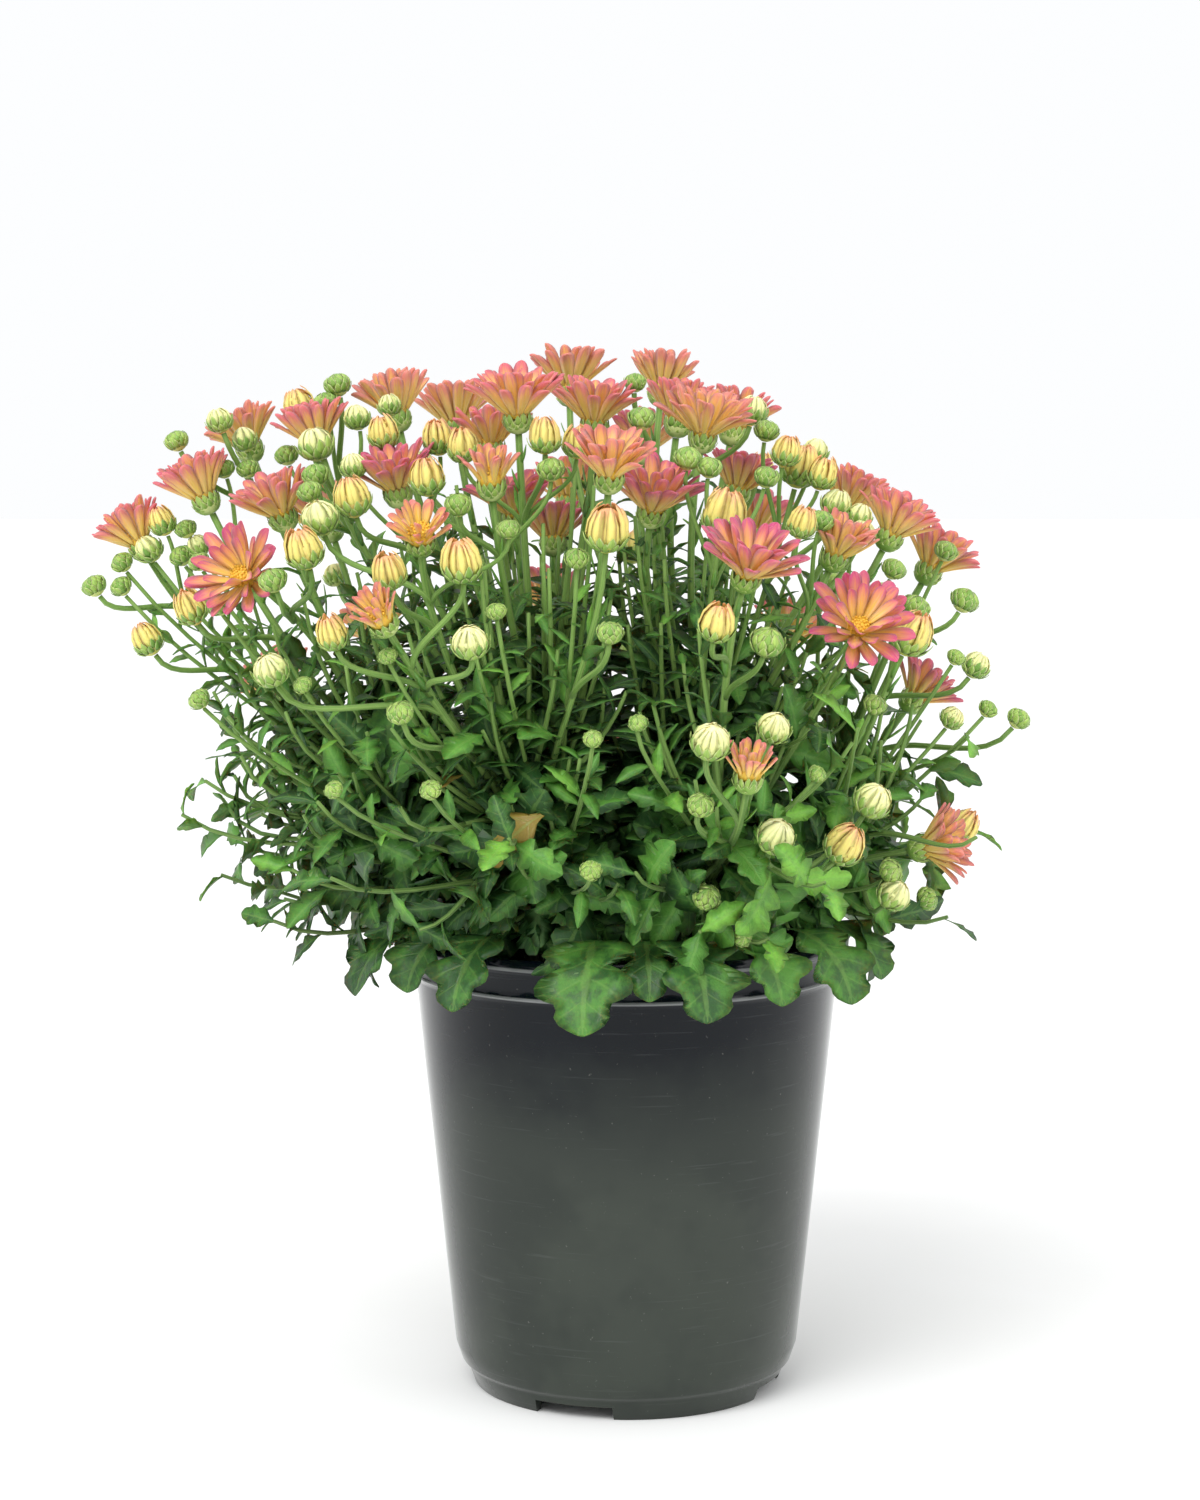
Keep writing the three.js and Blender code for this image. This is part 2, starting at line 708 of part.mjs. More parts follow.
// A branch leaves its host at a point of it, turned towards its end, and arrives along its facing
function branchCurve(host, steps, from, end, facing, bow) {
  const start = onStalk(host, steps, from);
  const way = end.clone().sub(start);
  const span = way.length();
  const across = way.clone().cross(up).normalize();
  const over = across.clone().cross(way).normalize();
  const startWay = way.clone().normalize().multiplyScalar(0.7).add(host.getTangentAt(from)).normalize();
  const bend = (point) => point.addScaledVector(across, bow[0]).addScaledVector(over, bow[1]);
  return new THREE.CubicBezierCurve3(
    start,
    bend(start.clone().addScaledVector(startWay, span * 0.3)),
    bend(end.clone().addScaledVector(facing, -span * 0.33)),
    end,
  );
}

// The stalk of an open or opening head grows from its own main stem, or from one nearby
function growStalk(head, stems) {
  const full = head.kind === 'bloom';
  const size = full ? stalk : budStalk;
  const foot = full
    ? head.seatPoint.clone().addScaledVector(head.facing, -calyx.high)
    : head.place.clone().addScaledVector(head.facing, -head.radius);
  const others = stems.filter((stem) => stem !== head.stem);
  others.sort((a, b) => a.hub.distanceTo(foot) - b.hub.distanceTo(foot));
  for (const stem of [head.stem, ...others.slice(0, 5)]) {
    const first = (stem.stalks.length * goldenShare + 0.4) % 1;
    const tries = [0, 0.3, 0.6].flatMap((later) => bows.map((bow) => [(first + later) % 1, bow]));
    const piece = grow(stem, stem.main, tries, ([share, bow]) => {
      const from = mix(...stalk.branchFrom, share);
      const curve = branchCurve(stem.curve, mains.steps, from, foot, head.facing, bow);
      const solid = full
        ? makeStalkWithCalyx(curve, head.facing)
        : makeStalkWithBud(curve, head.facing, head.radius, opening);
      return { curve, solid };
    }, { seatedOn: head.solid });
    if (piece) {
      stem.stalks.push({ stem, head, steps: size.steps, ...piece });
      return;
    }
  }
}

// A bud branches off a stalk some way below it, at the place nearest to its own stalk's length
function growBud(head, stalks) {
  const foot = head.place.clone().addScaledVector(head.facing, -head.radius);
  const places = stalks.flatMap((parent) => budStalk.branchAt.map((from) => {
    const start = onStalk(parent.curve, parent.steps, from);
    const tooHigh = Math.max(0, budStalk.leastDrop - (foot.z - start.z));
    return { parent, from, cost: Math.abs(start.distanceTo(foot) - budStalk.long) + 1.5 * tooHigh };
  }));
  places.sort((a, b) => a.cost - b.cost);
  places.slice(0, 16).some(({ parent, from }) => grow(parent.stem, parent.solid, bows, (bow) => {
    const curve = branchCurve(parent.curve, parent.steps, from, foot, head.facing, bow);
    return { solid: makeStalkWithBud(curve, head.facing, head.radius, bud) };
  }));
}

// A leaf leaves its host at a turn round it, spreads from it and droops. Where that place is
// taken it turns further round, or stays smaller, or doesn't grow.
const leafTurns = [0, 0.6, -0.6, 1.3, -1.3, 2.2, -2.2, 3.1];
const leafTries = [1, 0.72].flatMap((size) => leafTurns.map((shift) => [size, shift]));

function growLeaf(stem, host, from, turn, long, spread) {
  const way = host.curve.getTangentAt(from);
  const base = onStalk(host.curve, host.steps, from);
  const across = new THREE.Vector3(1, 0, 0).cross(way).normalize();
  const over = way.clone().cross(across).normalize();
  grow(stem, host.solid, leafTries, ([size, shift]) => {
    const out = blend(across, Math.cos(turn + shift), over, Math.sin(turn + shift));
    const along = blend(out, Math.sin(spread), way, Math.cos(spread));
    const upper = blend(way, Math.sin(spread), out, -Math.cos(spread));
    return { solid: makeLeaf({ base, along, upper, long: long * size, droop: leaf.droop }) };
  }, { alsoOwnStem: false });
}

// A shoot from the foot of the nearest outer stem crosses the rim, and its leaf hangs outside
function growRimLeaf([turn, long], stems) {
  const angle = (turn - 90) * degrees;
  const out = new THREE.Vector3(Math.cos(angle), Math.sin(angle), 0);
  const outer = stems.slice(0, mains.outer.count);
  const stem = outer.reduce((best, each) => (each.base.dot(out) > best.base.dot(out) ? each : best));
  const start = onStalk(stem.curve, mains.steps, 0.42);
  const lip = out.clone().multiplyScalar(pot.rimRadius - 2).setZ(pot.height + 9);
  const curve = new THREE.CubicBezierCurve3(
    start,
    start.clone().lerp(lip, 0.4).addScaledVector(up, 10),
    lip.clone().lerp(start, 0.3).addScaledVector(up, 6),
    lip,
  );
  const along = out.clone().addScaledVector(up, 0.1).normalize();
  const base = lip.clone().addScaledVector(out, -2);
  const shoot = loft(stalkRings(curve, budStalk).rings);
  const blade = makeLeaf({ base, along, upper: up, long, droop: leaf.rimDroop });
  const isHost = (other) => other.solid === stem.main;
  if (isClear(shoot, isHost) && isClear(blade, isHost)) {
    stem.solids.push(shoot, blade);
    stand(shoot, stem.name);
    stand(blade, stem.name);
  }
}

function growLeaves(stem) {
  const main = { solid: stem.main, curve: stem.curve, steps: mains.steps };
  for (let i = 0; i < leaf.perStem; i += 1) {
    const share = i / (leaf.perStem - 1);
    const long = mix(leaf.longest, leaf.shortest + 8, share);
    growLeaf(stem, main, mix(...leaf.onMain, share), i * goldenTurn + draw(0, 1), long, 1);
  }
  stem.stalks.forEach((each, i) => {
    const long = draw(leaf.shortest, leaf.shortest + 8);
    growLeaf(stem, each, leaf.onStalk[0], i * goldenTurn + draw(0, 1), long, 0.85);
    if (i % 2 === 0) growLeaf(stem, each, leaf.onStalk[1], i * goldenTurn + 2, long * 0.8, 0.75);
  });
}

// The plant grows in order: heads, main stems, stalks, buds, then leaves
const heads = layHeads();
const stems = layStems();
shareHeads(heads, stems);
const ofKind = (kind) => heads.filter((head) => head.kind === kind);

const potSolid = makePot();
const soilSolid = makeSoil(stems);
stand(potSolid, 'pot');
ofKind('bloom').forEach(standBloom);
stems.forEach(growMain);
stand(soilSolid, 'soil');
[...ofKind('bloom'), ...ofKind('opening')].forEach((head) => growStalk(head, stems));
const stalks = stems.flatMap((stem) => stem.stalks);
ofKind('bud').forEach((head) => growBud(head, stalks));
rimLeaves.forEach((each) => growRimLeaf(each, stems));
stems.forEach(growLeaves);

// The pieces, each one named mesh
const group = new THREE.Group();
group.add(meshFrom('pot', potSolid, finish.pot));
group.add(meshFrom('soil', soilSolid, finish.soil));
for (const stem of stems) group.add(meshFrom(stem.name, wasm.Manifold.union(stem.solids), finish.stem));
ofKind('bloom').forEach((head, i) => {
  const mesh = meshFrom(head.name, head.shape, finish[bloomTones[i]]);
  mesh.position.copy(head.seatPoint);
  mesh.quaternion.copy(head.turn);
  group.add(mesh);
});

// The group moves so that the origin lies under the middle of the whole
group.updateMatrixWorld(true);
const middle = new THREE.Box3().setFromObject(group, true).getCenter(new THREE.Vector3());
group.position.set(-middle.x, -middle.y, 0);
group.updateMatrixWorld(true);

export default group;
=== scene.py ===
import bpy
import mathutils
import numpy as np
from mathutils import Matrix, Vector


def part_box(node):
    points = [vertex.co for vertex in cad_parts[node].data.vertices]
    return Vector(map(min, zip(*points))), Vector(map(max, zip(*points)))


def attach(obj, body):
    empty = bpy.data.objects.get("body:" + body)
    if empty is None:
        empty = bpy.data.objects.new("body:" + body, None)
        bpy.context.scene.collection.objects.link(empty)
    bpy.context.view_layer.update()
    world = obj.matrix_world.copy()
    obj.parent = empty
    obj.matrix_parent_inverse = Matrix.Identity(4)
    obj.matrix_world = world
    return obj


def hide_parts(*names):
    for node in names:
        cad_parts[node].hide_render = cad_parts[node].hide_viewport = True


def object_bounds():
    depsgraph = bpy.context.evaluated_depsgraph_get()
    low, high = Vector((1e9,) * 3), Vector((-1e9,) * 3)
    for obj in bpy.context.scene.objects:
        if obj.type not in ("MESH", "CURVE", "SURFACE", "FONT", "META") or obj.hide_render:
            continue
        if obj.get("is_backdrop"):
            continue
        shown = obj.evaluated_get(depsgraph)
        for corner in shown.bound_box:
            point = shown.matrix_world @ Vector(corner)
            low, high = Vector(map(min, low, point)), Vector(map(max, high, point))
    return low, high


# Potted spray chrysanthemum: black nursery pot, soil, twelve leafy stems and their open heads.
# The layout is worked out in millimetres from the pot's own axis, and turned to metres at the end.

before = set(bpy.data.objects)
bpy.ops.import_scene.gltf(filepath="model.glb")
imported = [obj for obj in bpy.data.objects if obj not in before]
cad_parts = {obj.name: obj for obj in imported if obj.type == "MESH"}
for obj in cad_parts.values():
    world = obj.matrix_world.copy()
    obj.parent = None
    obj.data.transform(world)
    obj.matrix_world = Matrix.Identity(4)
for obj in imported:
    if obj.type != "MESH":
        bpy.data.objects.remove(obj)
lowCorner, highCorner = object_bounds()
cadBox = [list(lowCorner), list(highCorner)]
potLow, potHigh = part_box("pot")
potAxis = np.array([(potLow.x + potHigh.x) / 2, (potLow.y + potHigh.y) / 2, 0.0])
up = np.array([0.0, 0.0, 1.0])
goldenTurn = np.pi * (3 - np.sqrt(5))
goldenShare = 0.618034
rng = np.random.default_rng(52)
print("frame", len(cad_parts), "nodes, pot axis", potAxis.round(4))


# vectors
def unit(v):
    # each vector divided by its own length
    v = np.asarray(v, float)
    return v / np.maximum(np.linalg.norm(v, axis=-1, keepdims=True), 1e-9)


def mix(a, b, share):
    return a + (b - a) * share


def smooth(low, high, x):
    # eases from 0 at low to 1 at high: 3t^2 - 2t^3
    t = np.clip((x - low) / (high - low), 0, 1)
    return t * t * (3 - 2 * t)


seedState = 20871


def draw(low, high):
    # the plant's own seeded draws, in the order in which the heads were laid out
    global seedState
    seedState = (seedState * 1664525 + 1013904223) % 4294967296
    return low + (high - low) * (seedState / 4294967296)


# where the heads stand
crown = {"x": -25, "z": 190, "wide": 175, "deep": 150, "tall": 198}
parting = {"passes": 60, "step": 0.3, "bloomRoom": 0.9}
lifts = {"bloom": 0.55, "bud": 0.9, "centre": 20}
eye = {"distance": 1200, "height": 354.65, "dip": 0.095, "focal": 3207, "aside": -10}
bloomLook = {"core": 4.3, "rise": 5, "outerStart": 1.5, "innerStart": 4.3}
mainStems = {"outer": (8, 36, 46, 22.5), "inner": (4, 13, 16, 45), "long": 84, "radius": 2.6,
             "tipRadius": 1.9, "steps": 5, "top": 151}
stalkLook = {"radius": 1.7, "tipRadius": 1.4, "steps": 4, "branchFrom": (0.5, 0.97)}
budStalkLook = {"radius": 1.3, "tipRadius": 1.1, "steps": 2, "long": 34, "leastDrop": 14,
                "branchAt": (0.35, 0.45, 0.55, 0.65, 0.75, 0.85)}
calyxHigh = 5.5

# column, row, share of the depth, width, openness and, for some, the way they face
seenBlooms = [
    (135, 535, 0.25, 40, 0.5), (200, 488, 0.0, 42, 0.5), (245, 437, -0.35, 40, 0.55),
    (240, 575, 0.92, 44, 0.95, (-0.45, -0.75, 0.35)), (278, 505, 0.3, 42, 0.7), (315, 432, -0.1, 40, 0.5),
    (395, 405, -0.3, 42, 0.5), (395, 480, 0.6, 44, 0.7), (420, 530, 0.98, 30, 0.6, (0.0, -0.6, 0.8)),
    (455, 415, -0.5, 42, 0.5), (517, 405, 0.5, 46, 0.75), (515, 505, 0.15, 46, 0.75),
    (553, 530, -0.4, 40, 0.6), (570, 380, -0.6, 44, 0.6), (595, 412, 0.05, 44, 0.65),
    (490, 435, -0.15, 40, 0.6), (610, 465, 0.75, 42, 0.65), (653, 500, 0.55, 48, 0.75),
    (645, 440, -0.4, 40, 0.6), (663, 380, -0.9, 40, 0.55), (705, 425, 0.35, 46, 0.7),
    (680, 410, -0.25, 40, 0.55), (735, 420, -0.6, 42, 0.6), (750, 565, 0.85, 48, 0.85),
    (740, 480, -0.1, 40, 0.6), (840, 545, 0.55, 38, 0.55), (850, 500, -0.2, 42, 0.6),
    (895, 525, -0.1, 42, 0.6), (935, 560, 0.2, 42, 0.6), (860, 625, 0.9, 44, 0.9, (0.15, -0.75, 0.55)),
    (935, 845, 0.35, 40, 0.6, (0.95, -0.3, 0.25)), (750, 765, 0.95, 28, 0.3, (0.1, -0.35, 0.9)),
    (920, 690, -0.5, 38, 0.6), (490, 472, 0.7, 32, 0.25), (377, 612, 0.98, 28, 0.25, (-0.35, -0.55, 0.7)),
]
bloomTones = "ccomccomoocmmoccommooccmmocccmoomoocomcomcomco"  # coral, orange or magenta, head by head
seenHalfOpen = [(300, 410, 0.3, 7.5), (607, 530, 0.92, 8.5), (725, 515, 0.75, 9), (912, 635, 0.6, 8.5),
                (800, 468, 0.3, 8), (845, 845, 0.7, 8)]
# column, row, share of the depth, radius, and green, cream or yellow
seenBuds = [
    (93, 584, 0, 5.2, "g"), (176, 439, 0, 5, "g"), (219, 419, 0.1, 5.5, "c"), (337, 383, 0.2, 5.5, "g"),
    (315, 442, 0.7, 7.5, "c"), (352, 498, 0.8, 7.5, "y"), (319, 516, 0.95, 7.5, "c"), (304, 550, 0.95, 7.5, "y"),
    (389, 573, 0.95, 6.5, "y"), (272, 578, 1, 5.5, "g"), (191, 609, 0.7, 6.5, "y"), (147, 640, 0.4, 6.5, "y"),
    (332, 635, 1, 6, "y"), (270, 669, 1, 7, "c"), (400, 711, 1, 5, "g"), (545, 437, 0.6, 6.5, "y"),
    (635, 381, 0, 4.5, "g"), (427, 478, 0.8, 7, "y"), (461, 562, 1, 8, "y"), (470, 641, 1, 7, "c"),
    (610, 631, 0.95, 5, "g"), (753, 409, 0.3, 6.5, "c"), (837, 503, 0.3, 6.5, "c"), (966, 598, 0.3, 6, "g"),
    (916, 605, 0.5, 6, "g"), (717, 624, 1, 7, "y"), (768, 640, 0.95, 6.5, "g"), (977, 664, 0.2, 6, "c"),
    (1020, 717, 0, 5, "g"), (775, 726, 1, 6.5, "c"), (711, 740, 1, 7.5, "c"), (701, 804, 0.9, 5, "g"),
    (874, 799, 0.75, 7.5, "c"), (777, 835, 0.85, 7.5, "c"), (707, 896, 0.7, 5.5, "g"), (895, 893, 0.6, 7, "c"),
    (960, 829, 0.2, 7, "y"),
]
# small buds on thin stalks of their own, between the others
smallBuds = [
    (120, 585, 0.1, 4.6, "g"), (121, 561, 0.1, 4.6, "g"), (148, 548, 0.3, 6, "c"), (162, 522, 0.2, 5.6, "y"),
    (244, 438, 0.5, 5.6, "c"), (325, 401, 0.5, 5.2, "g"), (357, 416, 0.5, 5.6, "c"), (389, 404, 0.3, 5, "c"),
    (383, 434, 0.6, 6.4, "y"), (286, 453, 0.7, 5, "g"), (247, 467, 0.6, 4.6, "g"), (223, 467, 0.4, 4.6, "g"),
    (315, 473, 0.8, 5.4, "g"), (309, 490, 0.9, 4.8, "g"), (353, 465, 0.8, 5.4, "c"), (203, 493, 0.4, 4.8, "g"),
    (198, 545, 0.5, 5, "c"), (185, 527, 0.3, 4.6, "g"), (180, 554, 0.4, 5, "g"), (218, 604, 0.9, 4.6, "g"),
    (387, 655, 0.9, 3.6, "g"), (302, 684, 0.9, 3.6, "g"), (198, 698, 0.8, 4.4, "g"), (551, 467, 0.8, 5.4, "g"),
    (577, 443, 0.7, 6, "y"), (642, 416, 0.7, 5.4, "g"), (438, 439, 0.5, 6.4, "y"), (463, 447, 0.6, 6.4, "y"),
    (458, 503, 0.8, 5.2, "g"), (508, 527, 0.9, 4.4, "g"), (496, 610, 0.9, 3.8, "g"), (577, 557, 0.9, 4.6, "g"),
    (638, 722, 0.9, 3.6, "g"), (767, 429, 0.5, 5, "g"), (688, 456, 0.8, 5.4, "g"), (710, 465, 0.8, 5, "g"),
    (767, 475, 0.7, 5, "g"), (786, 452, 0.6, 6, "y"), (816, 450, 0.3, 5.6, "c"), (822, 475, 0.5, 6, "y"),
    (802, 524, 0.8, 5.8, "y"), (822, 519, 0.7, 5, "g"), (860, 515, 0.5, 5.4, "c"), (863, 531, 0.6, 5.4, "c"),
    (895, 567, 0.6, 5, "g"), (947, 549, 0.3, 5, "g"), (886, 592, 0.7, 5, "g"), (957, 656, 0.4, 3.8, "g"),
    (953, 717, 0.4, 5, "c"), (989, 708, 0.2, 4, "g"), (876, 703, 0.7, 4.6, "g"), (892, 870, 0.6, 5, "g"),
    (929, 898, 0.4, 5, "g"), (818, 773, 0.8, 3.6, "g"), (743, 937, 0.7, 3.8, "g"), (593, 738, 0.9, 3.6, "g"),
    (591, 870, 0.8, 4, "g"), (430, 789, 0.9, 4, "g"), (333, 789, 0.9, 3.6, "g"), (198, 560, 0.8, 4.4, "g"),
]
farSide = {"blooms": (11, 40, (20, 23)), "buds": (8, 24, (5, 7.5)), "deep": 25, "aside": 0.68,
           "rises": (0.05, 0.9), "within": 0.93, "open": (0.5, 0.9), "tries": 900}
rimLeaves = [(-62, 46), (-48, 38), (-34, 44), (-8, 52), (4, 34), (14, 46), (30, 40), (46, 44), (62, 36),
             (120, 42), (170, 46), (215, 42), (255, 44)]
leafLook = {"longest": 42, "shortest": 24, "perStem": 5, "droop": 0.9, "fold": 0.18, "rimDroop": 1.5}


def seenAt(column, row, y):
    # the point at depth y on the line of sight through that column and row of the picture
    angle = np.arctan((750 - row) / eye["focal"]) - eye["dip"]
    z = eye["height"] + (eye["distance"] + y) * np.tan(angle)
    ahead = (eye["distance"] + y) * np.cos(eye["dip"]) - (z - eye["height"]) * np.sin(eye["dip"])
    return np.array([eye["aside"] + (column - 600) / eye["focal"] * ahead, y, z])


def depthOf(column, row, share):
    # where that line of sight meets the round crown, times a share
    y = 0.0
    for _ in range(4):
        x, _, z = seenAt(column, row, y)
        left = 1 - ((x - crown["x"]) / crown["wide"]) ** 2 - ((z - crown["z"]) / crown["tall"]) ** 2
        y = -share * crown["deep"] * np.sqrt(max(0, left))
    return y


def partHeads(heads):
    # heads that would run into each other move apart along the line of sight, a little each pass
    room = [h["radius"] * (parting["bloomRoom"] if h["kind"] == "bloom" else 1) for h in heads]
    for _ in range(parting["passes"]):
        for h in heads:
            h["place"] = seenAt(h["column"], h["row"], h["y"])
        for i, a in enumerate(heads):
            for j in range(i + 1, len(heads)):
                b = heads[j]
                gap = a["place"] - b["place"]
                short = max(0.0, room[i] + room[j] - np.sqrt(gap @ gap))
                way = -1 if a["y"] < b["y"] else 1
                a["y"] += way * short * parting["step"]
                b["y"] -= way * short * parting["step"]


def fillFarSide(heads, kind, rule):
    # evenly spread points of the crown, kept on the far side where there is room
    count, apart, radius = rule
    made = 0
    for i in range(farSide["tries"]):
        if made == count:
            break
        rise = mix(*farSide["rises"], (i * 0.7548777) % 1)
        turn = 2 * np.pi * ((i * 0.5698403) % 1)
        flat = np.sqrt(1 - rise * rise) * farSide["within"]
        place = np.array([crown["x"] + crown["wide"] * flat * np.cos(turn), crown["deep"] * flat * np.sin(turn),
                          crown["z"] + crown["tall"] * farSide["within"] * rise])
        hidden = place[1] > farSide["deep"] and abs(place[0] - crown["x"]) / crown["wide"] < farSide["aside"]
        if hidden and all(np.linalg.norm(h["place"] - place) > apart for h in heads):
            heads.append({"kind": kind, "place": place, "radius": draw(*radius), "open": draw(*farSide["open"]),
                          "type": "gcy"[made % 3], "face": None})
            made += 1


def facingAt(place, lift):
    # straight out of the crown, turned up towards the light
    out = unit(place - np.array([crown["x"], 0, crown["z"] - lifts["centre"]]))
    return unit(out + up * lift)


def layHeads():
    heads = []
    for kind, table in (("bloom", seenBlooms), ("opening", seenHalfOpen), ("bud", seenBuds)):
        for each in table:
            bloom = kind == "bloom"
            heads.append({
                "kind": kind, "column": each[0], "row": each[1], "y": depthOf(*each[:3]),
                "radius": each[3] / 2 if bloom else each[3], "open": each[4] if bloom else 0,
                "face": each[5] if bloom and len(each) > 5 else None, "type": each[4] if kind == "bud" else "y",
            })
    partHeads(heads)
    fillFarSide(heads, "bloom", farSide["blooms"])
    fillFarSide(heads, "bud", farSide["buds"])
    for h in heads:
        lift = lifts["bloom" if h["kind"] == "bloom" else "bud"]
        h["facing"] = unit(h["face"]) if h["face"] else facingAt(h["place"], lift)
    return heads


class Path:
    # a cubic curve, read by share of its own length
    def __init__(self, a, b, c, d):
        self.points = [np.asarray(p, float) for p in (a, b, c, d)]
        along = self.raw(np.linspace(0, 1, 201))
        step = np.linalg.norm(np.diff(along, axis=0), axis=1)
        self.lengths = np.concatenate([[0], np.cumsum(step)])
        self.long = self.lengths[-1]

    def raw(self, t):
        # (1-t)^3 a + 3(1-t)^2 t b + 3(1-t) t^2 c + t^3 d
        t = np.asarray(t, float)[..., None]
        a, b, c, d = self.points
        return (1 - t) ** 3 * a + 3 * (1 - t) ** 2 * t * b + 3 * (1 - t) * t * t * c + t ** 3 * d

    def share(self, u):
        return np.interp(np.asarray(u, float) * self.long, self.lengths, np.linspace(0, 1, 201))

    def at(self, u):
        return self.raw(self.share(u))

    def way(self, u):
        t = self.share(u)
        return unit(self.raw(np.clip(t + 1e-4, 0, 1)) - self.raw(np.clip(t - 1e-4, 0, 1)))

    def chord(self, steps, share):
        # the middle of the plain stalk, which runs straight from ring to ring
        step = min(steps - 1, int(np.floor(share * steps)))
        return mix(self.at(step / steps), self.at((step + 1) / steps), share * steps - step)


def branchPath(host, steps, start, end, facing, bow):
    # leaves its host turned towards its end, bows aside, and arrives along the facing of its head
    first = host.chord(steps, start)
    way = end - first
    span = np.linalg.norm(way)
    across = unit(np.cross(way, up))
    over = unit(np.cross(across, way))
    startWay = unit(unit(way) * 0.7 + host.way(start))
    aside = across * bow[0] + over * bow[1]
    return Path(first, first + startWay * span * 0.3 + aside, end - facing * span * 0.33 + aside, end)


bows = [(0.0, 0.0)] + [(far * np.cos(np.radians(turn)), far * np.sin(np.radians(turn)))
                       for far in (7, 14, 22, 30) for turn in range(0, 360, 45)]


def cornersOf(name):
    # the plain node's corners, in millimetres from the pot's axis
    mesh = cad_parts[name].data
    flat = np.empty(len(mesh.vertices) * 3, np.float32)
    mesh.vertices.foreach_get("co", flat)
    return np.unique(((flat.reshape(-1, 3) - potAxis) * 1000).round(3), axis=0)


def goesThere(corners, path, look, least):
    # counts corners of the plain stem that lie at the stalk's own radius from its middle line
    shares = [0.5, 1.0] if look["steps"] == 2 else [0.25, 0.5, 0.75]
    found = 0
    for share in shares:
        reach = np.linalg.norm(corners - path.at(share), axis=1)
        found += int((np.abs(reach - mix(look["radius"], look["tipRadius"], share)) < 0.03).sum())
    return found >= least


def layStems(heads):
    stems = []
    for count, baseAt, tilt, first in (mainStems["outer"], mainStems["inner"]):
        for i in range(count):
            turn = np.radians(first + 360 / count * i)
            out = np.array([np.cos(turn), np.sin(turn), 0])
            lean = np.radians(tilt)
            name = f"stem_{len(stems) + 1:02d}"
            stems.append({
                "name": name, "base": out * baseAt + up * mainStems["top"], "corners": cornersOf(name),
                "aim": out * np.sin(lean) + up * np.cos(lean), "heads": [], "stalks": [], "rim": [],
            })
    root = np.array([0, 0, mainStems["top"] - 10])
    for h in heads:
        way = unit(h["place"] - root)
        h["stem"] = max(stems, key=lambda s: round(float(s["aim"] @ way), 9))  # of two as near, the first
        h["stem"]["heads"].append(h)
    for s in stems:
        aim = unit(s["aim"] + sum((unit(h["place"] - s["base"]) for h in s["heads"]), np.zeros(3)))
        long = mainStems["long"]
        s["hub"] = s["base"] + aim * long
        s["path"] = Path(s["base"], s["base"] + up * long * 0.32, s["hub"] - aim * long * 0.35, s["hub"])
    return stems


def firstThatFits(ways, look, least):
    # the first way whose rings stand among the plain stem's corners, or else the very first way
    untested = None
    for host, path in ways:
        if goesThere(host.get("stem", host)["corners"], path, look, least):
            return host, path
        untested = untested or (host, path)
    print("no plain stalk found to", untested[1].points[3].round())
    return untested


def stalkWays(h, foot, stems):
    # from the head's own stem and then the stems nearest to it, at three places each
    others = sorted((s for s in stems if s is not h["stem"]), key=lambda s: np.linalg.norm(s["hub"] - foot))
    for s in [h["stem"], *others[:5]]:
        first = (len(s["stalks"]) * goldenShare + 0.4) % 1
        for later in (0, 0.3, 0.6):
            start = mix(*stalkLook["branchFrom"], (first + later) % 1)
            for bow in bows:
                yield s, branchPath(s["path"], mainStems["steps"], start, foot, h["facing"], bow)


def placesBelow(foot, stalks, long, leastDrop):
    # places on the stalks, nearest first to a bud stalk's own length, and lower than the bud
    places = []
    for parent in stalks:
        for start in budStalkLook["branchAt"]:
            first = parent["path"].chord(parent["steps"], start)
            tooHigh = max(0.0, leastDrop - (foot[2] - first[2]))
            places.append((abs(np.linalg.norm(first - foot) - long) + 1.5 * tooHigh, start, parent))
    return sorted(places, key=lambda each: each[0])


def budWays(h, foot, stalks):
    for _, start, parent in placesBelow(foot, stalks, budStalkLook["long"], budStalkLook["leastDrop"])[:16]:
        for bow in bows:
            yield parent, branchPath(parent["path"], parent["steps"], start, foot, h["facing"], bow)


def layStalks(heads, stems):
    for h in sorted((h for h in heads if h["kind"] != "bud"), key=lambda h: h["kind"] == "opening"):
        full = h["kind"] == "bloom"
        look, least = (stalkLook, 4) if full else (budStalkLook, 3)
        foot = h["seatPoint"] - h["facing"] * calyxHigh if full else h["place"] - h["facing"] * h["radius"]
        s, path = firstThatFits(stalkWays(h, foot, stems), look, least)
        s["stalks"].append({"stem": s, "head": h, "steps": look["steps"], "path": path, "full": full})


def layBuds(heads, stalks):
    budStalks = []
    for h in [h for h in heads if h["kind"] == "bud"]:
        foot = h["place"] - h["facing"] * h["radius"]
        parent, path = firstThatFits(budWays(h, foot, stalks), budStalkLook, 3)
        budStalks.append({"stem": parent["stem"], "head": h, "path": path})
    return budStalks


heads = layHeads()
blooms = [h for h in heads if h["kind"] == "bloom"]
for h in blooms:
    h["spin"] = draw(0, 2 * np.pi)
    for _ in range(32):
        draw(0, 1)  # for the lengths and slopes of its plain florets
    h["seatPoint"] = h["place"] - h["facing"] * bloomLook["rise"]
stems = layStems(heads)
layStalks(heads, stems)
stalks = [each for s in stems for each in s["stalks"]]
budStalks = layBuds(heads, stalks)
print("laid out", len(blooms), "open heads,", len(stalks), "stalks,", len(budStalks), "buds")


